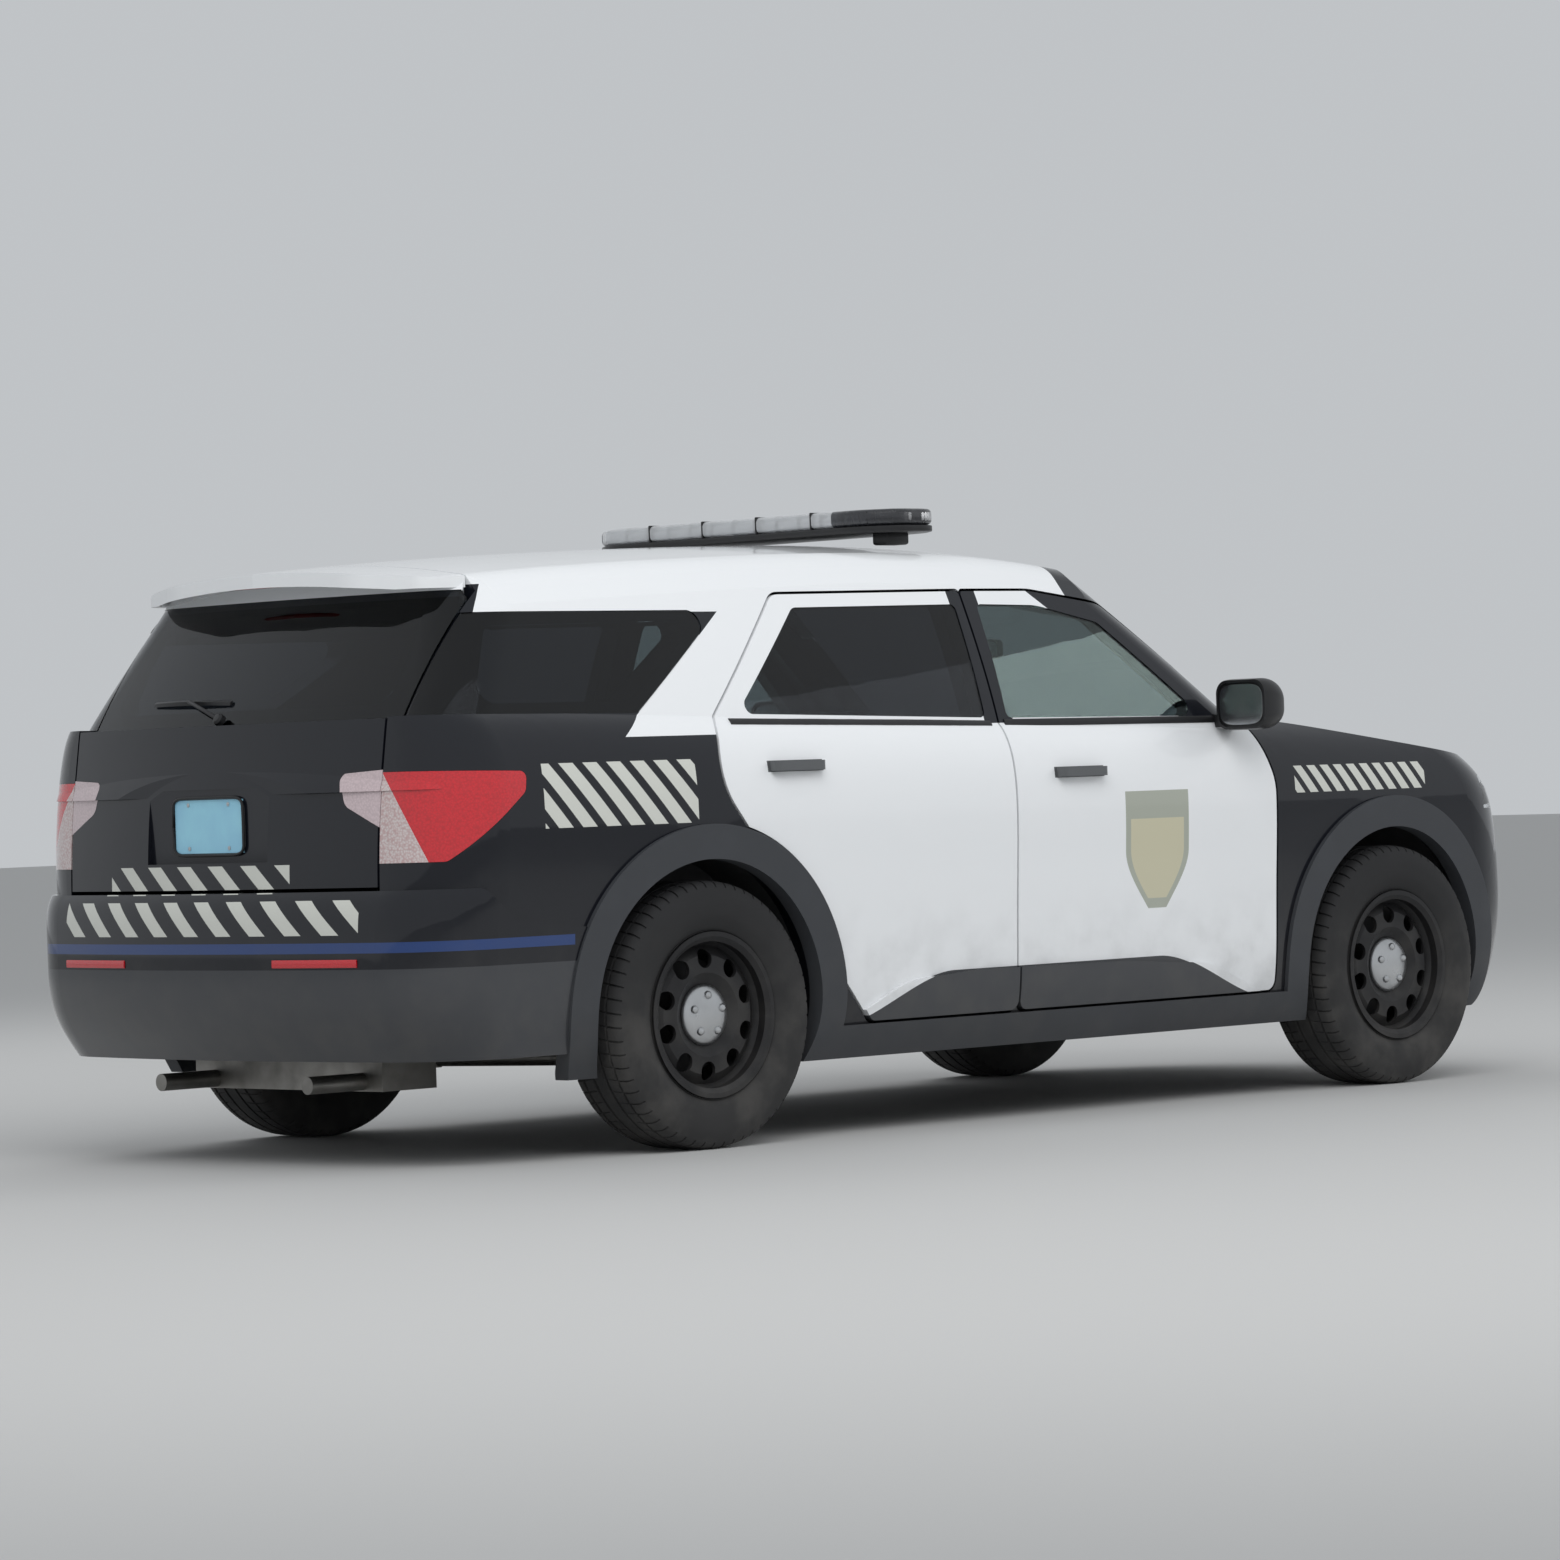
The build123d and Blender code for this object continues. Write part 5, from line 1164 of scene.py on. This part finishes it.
def dress_dashboard():
    screen_place = facing(dash_x(0.0, 1.000) + 0.002, 0.0, 1.005)
    new_piece("dash_screen", rounded_slab(0.125, 0.074, 0.014, 0.004, screen_place, 0.25), SCREEN_BLACK)
    frames, slats = [], []
    for y in VENTS_Y:
        x = dash_x(y, VENT_Z)
        frames.append(rounded_slab(0.062, 0.034, 0.008, 0.002, facing(x, y, VENT_Z), 0.35, segments=1))
        slats += [((x - 0.012, y - 0.052, 0.962 + 0.011 * k), (x - 0.007, y + 0.052, 0.965 + 0.011 * k))
                  for k in range(5)]
    new_piece("dash_vent_frames", joined(frames), CABIN_PLASTIC)
    new_piece("dash_vent_slats", blocks_mesh(slats, 0.001), TRIM_BLACK)
    gauges = [turned_to_front(GAUGE_PROFILE, (dash_x(y, GAUGE_Z), y, GAUGE_Z), -1) for y in GAUGES_Y]
    new_piece("dash_gauges", joined(gauges), TRIM_BLACK)
    for name, way in SIDES:
        stalk = [(x, 0.40 + way * out, z) for x, out, z in
                 ((0.520, 0.02, 0.930), (0.515, 0.09, 0.945), (0.505, 0.155, 0.962))]
        tube_piece(f"stalk_{name}", stalk, 0.0075, TRIM_BLACK)
    for name, y, z, half_y, half_z in PEDALS:
        pad = rounded_slab(half_y, half_z, 0.012, 0.003,
                           lambda u, v, w: (0.845 + v * PEDAL_SLOPE - w, y + u, z + v))
        new_piece(f"pedal_{name}", pad, TRIM_BLACK)
        arm = [(0.848, y, z), (0.900, y, z + 0.06), (0.950, y, z + 0.15), (0.989, y, z + 0.19)]
        tube_piece(f"pedal_arm_{name}", arm, 0.007, CHASSIS_STEEL)


# Engine bay: a moulded cover with ribs and a filler cap over the engine
OIL_CAP = ((0.0, -0.002), (0.030, -0.002), (0.032, 0.010), (0.029, 0.018), (0.0, 0.020))


def dress_engine():
    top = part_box("engine")[1][2]
    cover = rounded_slab(0.255, 0.235, 0.030, 0.012, lambda u, v, w: (1.485 + u, v, top - 0.004 + w),
                         steps=10, segments=3)
    ribs = [((1.275, y - 0.009, top + 0.022), (1.695, y + 0.009, top + 0.036))
            for y in (-0.165 + 0.055 * k for k in range(7))]
    new_piece("engine_cover", joined([cover, blocks_mesh(ribs, 0.004)]), CABIN_PLASTIC)
    cap = spun_mesh(OIL_CAP, 32)
    cap.transform(Matrix.Translation((1.62, 0.262, top)) @ Matrix.Rotation(math.pi / 2, 4, "X"))
    new_piece("oil_cap", cap, TRIM_BLACK)


# Wipers
# Each wiper's name, body, glass, the two ends where its blade is parked, its pivot and the way to the glass
WIPERS = (
    ("wiper_left", "body", "fixed_glass", ((1.085, 0.60, 1.165), (1.150, -0.02, 1.158)), (1.205, 0.50, 1.128),
     (-0.35, 0.0, -1.0)),
    ("wiper_right", "body", "fixed_glass", ((1.140, 0.02, 1.175), (1.090, -0.56, 1.168)), (1.225, -0.08, 1.128),
     (-0.35, 0.0, -1.0)),
    ("wiper_rear", "tailgate", "tailgate_glass", ((-2.40, 0.02, 1.312), (-2.40, 0.40, 1.318)),
     (-2.392, 0.02, 1.268), (1.0, 0.0, 0.0)),
)
BLADE_STEPS = 12
BLADE_OUT = 0.010
BLADE_SECTION = ((-0.002, 0.001), (-0.009, BLADE_OUT), (0.0, BLADE_OUT + 0.007), (0.009, BLADE_OUT),
                 (0.002, 0.001))
WIPER_BOSS = ((0.0, -0.012), (0.018, -0.012), (0.018, 0.004), (0.012, 0.010), (0.0, 0.011))


def wiper(name, body, glass_node, park, pivot, way):
    """An arm from its pivot to the blade's middle, and a blade between two parked ends on the glass."""
    blade = []
    for step in range(BLADE_STEPS + 1):
        spot = [a + (b - a) * step / BLADE_STEPS for a, b in zip(*park)]
        blade.append(hit(glass_node, [c - w * 2.0 for c, w in zip(spot, way)], way))
    rows = []
    run = (blade[-1][0] - blade[0][0]).normalized()
    for index, (point, normal) in enumerate(blade):
        across = run.cross(normal).normalized()
        slim = 0.55 + 0.45 * math.sin(math.pi * index / BLADE_STEPS)
        rows.append([point + across * a + normal * b * slim for a, b in BLADE_SECTION])
    new_piece(name + "_blade", grid_mesh(rows, ring_columns=True, caps=True), TRIM_BLACK, body)
    middle, normal = blade[BLADE_STEPS // 2]
    root = Vector(pivot)
    tip = middle + normal * (BLADE_OUT + 0.008)
    arm = [root, root.lerp(tip, 0.35) + normal * 0.012, root.lerp(tip, 0.7) + normal * 0.008, tip]
    tube_piece(name + "_arm", arm, 0.006, TRIM_BLACK, body)
    boss = spun_mesh(WIPER_BOSS, 32)
    turn = Vector((0, 1, 0)).rotation_difference(normal).to_matrix().to_4x4()
    boss.transform(Matrix.Translation(root) @ turn)
    new_piece(name + "_boss", boss, TRIM_BLACK, body)


def dress_wipers():
    for row in WIPERS:
        wiper(*row)


# Tail details: the high brake lamp, the bumper's reflectors and the plate's frame and screws
PLATE_FACE_X = -2.4553
PLATE_Z = 0.965
PLATE_SCREW = ((0.0, 0.0), (0.006, 0.0), (0.006, 0.002), (0.003, 0.0035), (0.0, 0.0038))
BRAKE_OUTLINE = ((-0.19, 0.0), (0.19, 0.0), (0.185, 0.018), (-0.185, 0.018))
REFLECTOR_OUT = 0.004
REFLECTOR_STEPS = 16


def reflector_ring(y):
    """The reflector's section at a place across the bumper."""
    (low, low_out), (high, high_out) = (hit("rear_bumper", (-3.5, y, z), (1.0, 0.0, 0.0))
                                        for z in (0.566, 0.588))
    return [low - low_out * 0.002, low + low_out * (REFLECTOR_OUT * 0.7),
            low.lerp(high, 0.15) + low_out * REFLECTOR_OUT, low.lerp(high, 0.85) + high_out * REFLECTOR_OUT,
            high + high_out * (REFLECTOR_OUT * 0.7), high - high_out * 0.002]


def dress_tail():
    brake = slab_mesh(BRAKE_OUTLINE, 0.012, 0.003, lambda u, v, w: (-2.222 - w + abs(u) * 0.03, u, 1.640 + v))
    new_piece("high_brake_lamp", brake, RED_LENS, "tailgate")
    for side_name, side in SIDES:
        rings = [reflector_ring(side * (0.335 + 0.32 * step / REFLECTOR_STEPS))
                 for step in range(REFLECTOR_STEPS + 1)]
        new_piece(f"reflector_{side_name}", grid_mesh(rings, ring_columns=True, caps=True), RED_LENS)
    rim = [(PLATE_FACE_X - 0.003, u * 0.158, PLATE_Z + v * 0.082) for u, v in rounded_square(0.25, 8)]
    tube_piece("plate_frame", rim, 0.0045, TRIM_BLACK, "tailgate", closed=True)
    screws = []
    for y, z in ((-0.09, 0.062), (0.09, 0.062), (-0.09, -0.062), (0.09, -0.062)):
        screws.append(spun_mesh(PLATE_SCREW, 20))
        place = Matrix.Translation((PLATE_FACE_X, y, PLATE_Z + z))
        screws[-1].transform(place @ Matrix.Rotation(math.pi / 2, 4, "Z"))
    new_piece("plate_screws", joined(screws), BRIGHT_STEEL, "tailgate")


dress_wheels()
dress_seats()
dress_light_bar()
dress_windows()
dress_mirrors()
dress_inside()
dress_inner_mirror()
dress_headlamps()
dress_dashboard()
dress_engine()
dress_wipers()
dress_tail()


# Stage, light and camera
def aim_camera():
    yaw, pitch, roll = (math.radians(angle) for angle in (CAMERA_YAW, CAMERA_PITCH, CAMERA_ROLL))
    forward = Vector((-math.sin(yaw) * math.cos(pitch), math.cos(yaw) * math.cos(pitch),
                      -math.sin(pitch)))
    right = forward.cross(Vector((0, 0, 1))).normalized()
    up = right.cross(forward)
    across = math.cos(roll) * right + math.sin(roll) * up
    upward = math.cos(roll) * up - math.sin(roll) * right
    data = bpy.data.cameras.new("photo_camera")
    data.sensor_width = SENSOR_WIDTH
    data.sensor_fit = "HORIZONTAL"
    data.lens = CAMERA_LENS
    data.clip_end = 200.0
    camera = linked("photo_camera", data)
    camera.matrix_world = (Matrix.Translation(CAMERA_PLACE)
                           @ Matrix((across, upward, -forward)).transposed().to_4x4())
    bpy.context.scene.camera = camera


def add_light(name, place, target, size, power):
    data = bpy.data.lights.new(name, "AREA")
    data.shape = "RECTANGLE"
    data.size, data.size_y = size
    data.energy = power
    light = linked(name, data)
    light.location = place
    light.visible_glossy = False
    light.rotation_euler = (Vector(target) - Vector(place)).to_track_quat("-Z", "Y").to_euler()


FLOOR_REACH = 60.0
FLOOR_PALE = (0.52, 0.52, 0.515)
WORLD_COLOUR = (0.80, 0.83, 0.86)
WORLD_STRENGTH = 0.66


def add_floor():
    mesh = bpy.data.meshes.new("floor_stage")
    corners = [(x * FLOOR_REACH, y * FLOOR_REACH, 0) for x, y in ((-1, -1), (1, -1), (1, 1), (-1, 1))]
    mesh.from_pydata(corners, [], [(0, 1, 2, 3)])
    mesh.materials.append(stage_finish("floor_pale", FLOOR_PALE))
    linked("floor_stage", mesh)


def light_world():
    world = bpy.data.worlds.new("studio")
    bpy.context.scene.world = world
    world.use_nodes = True
    background = world.node_tree.nodes["Background"]
    background.inputs["Color"].default_value = (*WORLD_COLOUR, 1.0)
    background.inputs["Strength"].default_value = WORLD_STRENGTH


add_floor()
light_world()
add_light("key", (-5.0, -6.0, 7.0), (0, 0, 0.7), (9.0, 6.0), 430.0)
add_light("fill", (7.0, -5.0, 4.0), (0, 0, 0.8), (5.0, 3.0), 150.0)
add_light("back", (2.0, 7.0, 7.5), (0, 0, 0.8), (9.0, 5.0), 240.0)
aim_camera()
bpy.context.scene.view_settings.view_transform = "Standard"
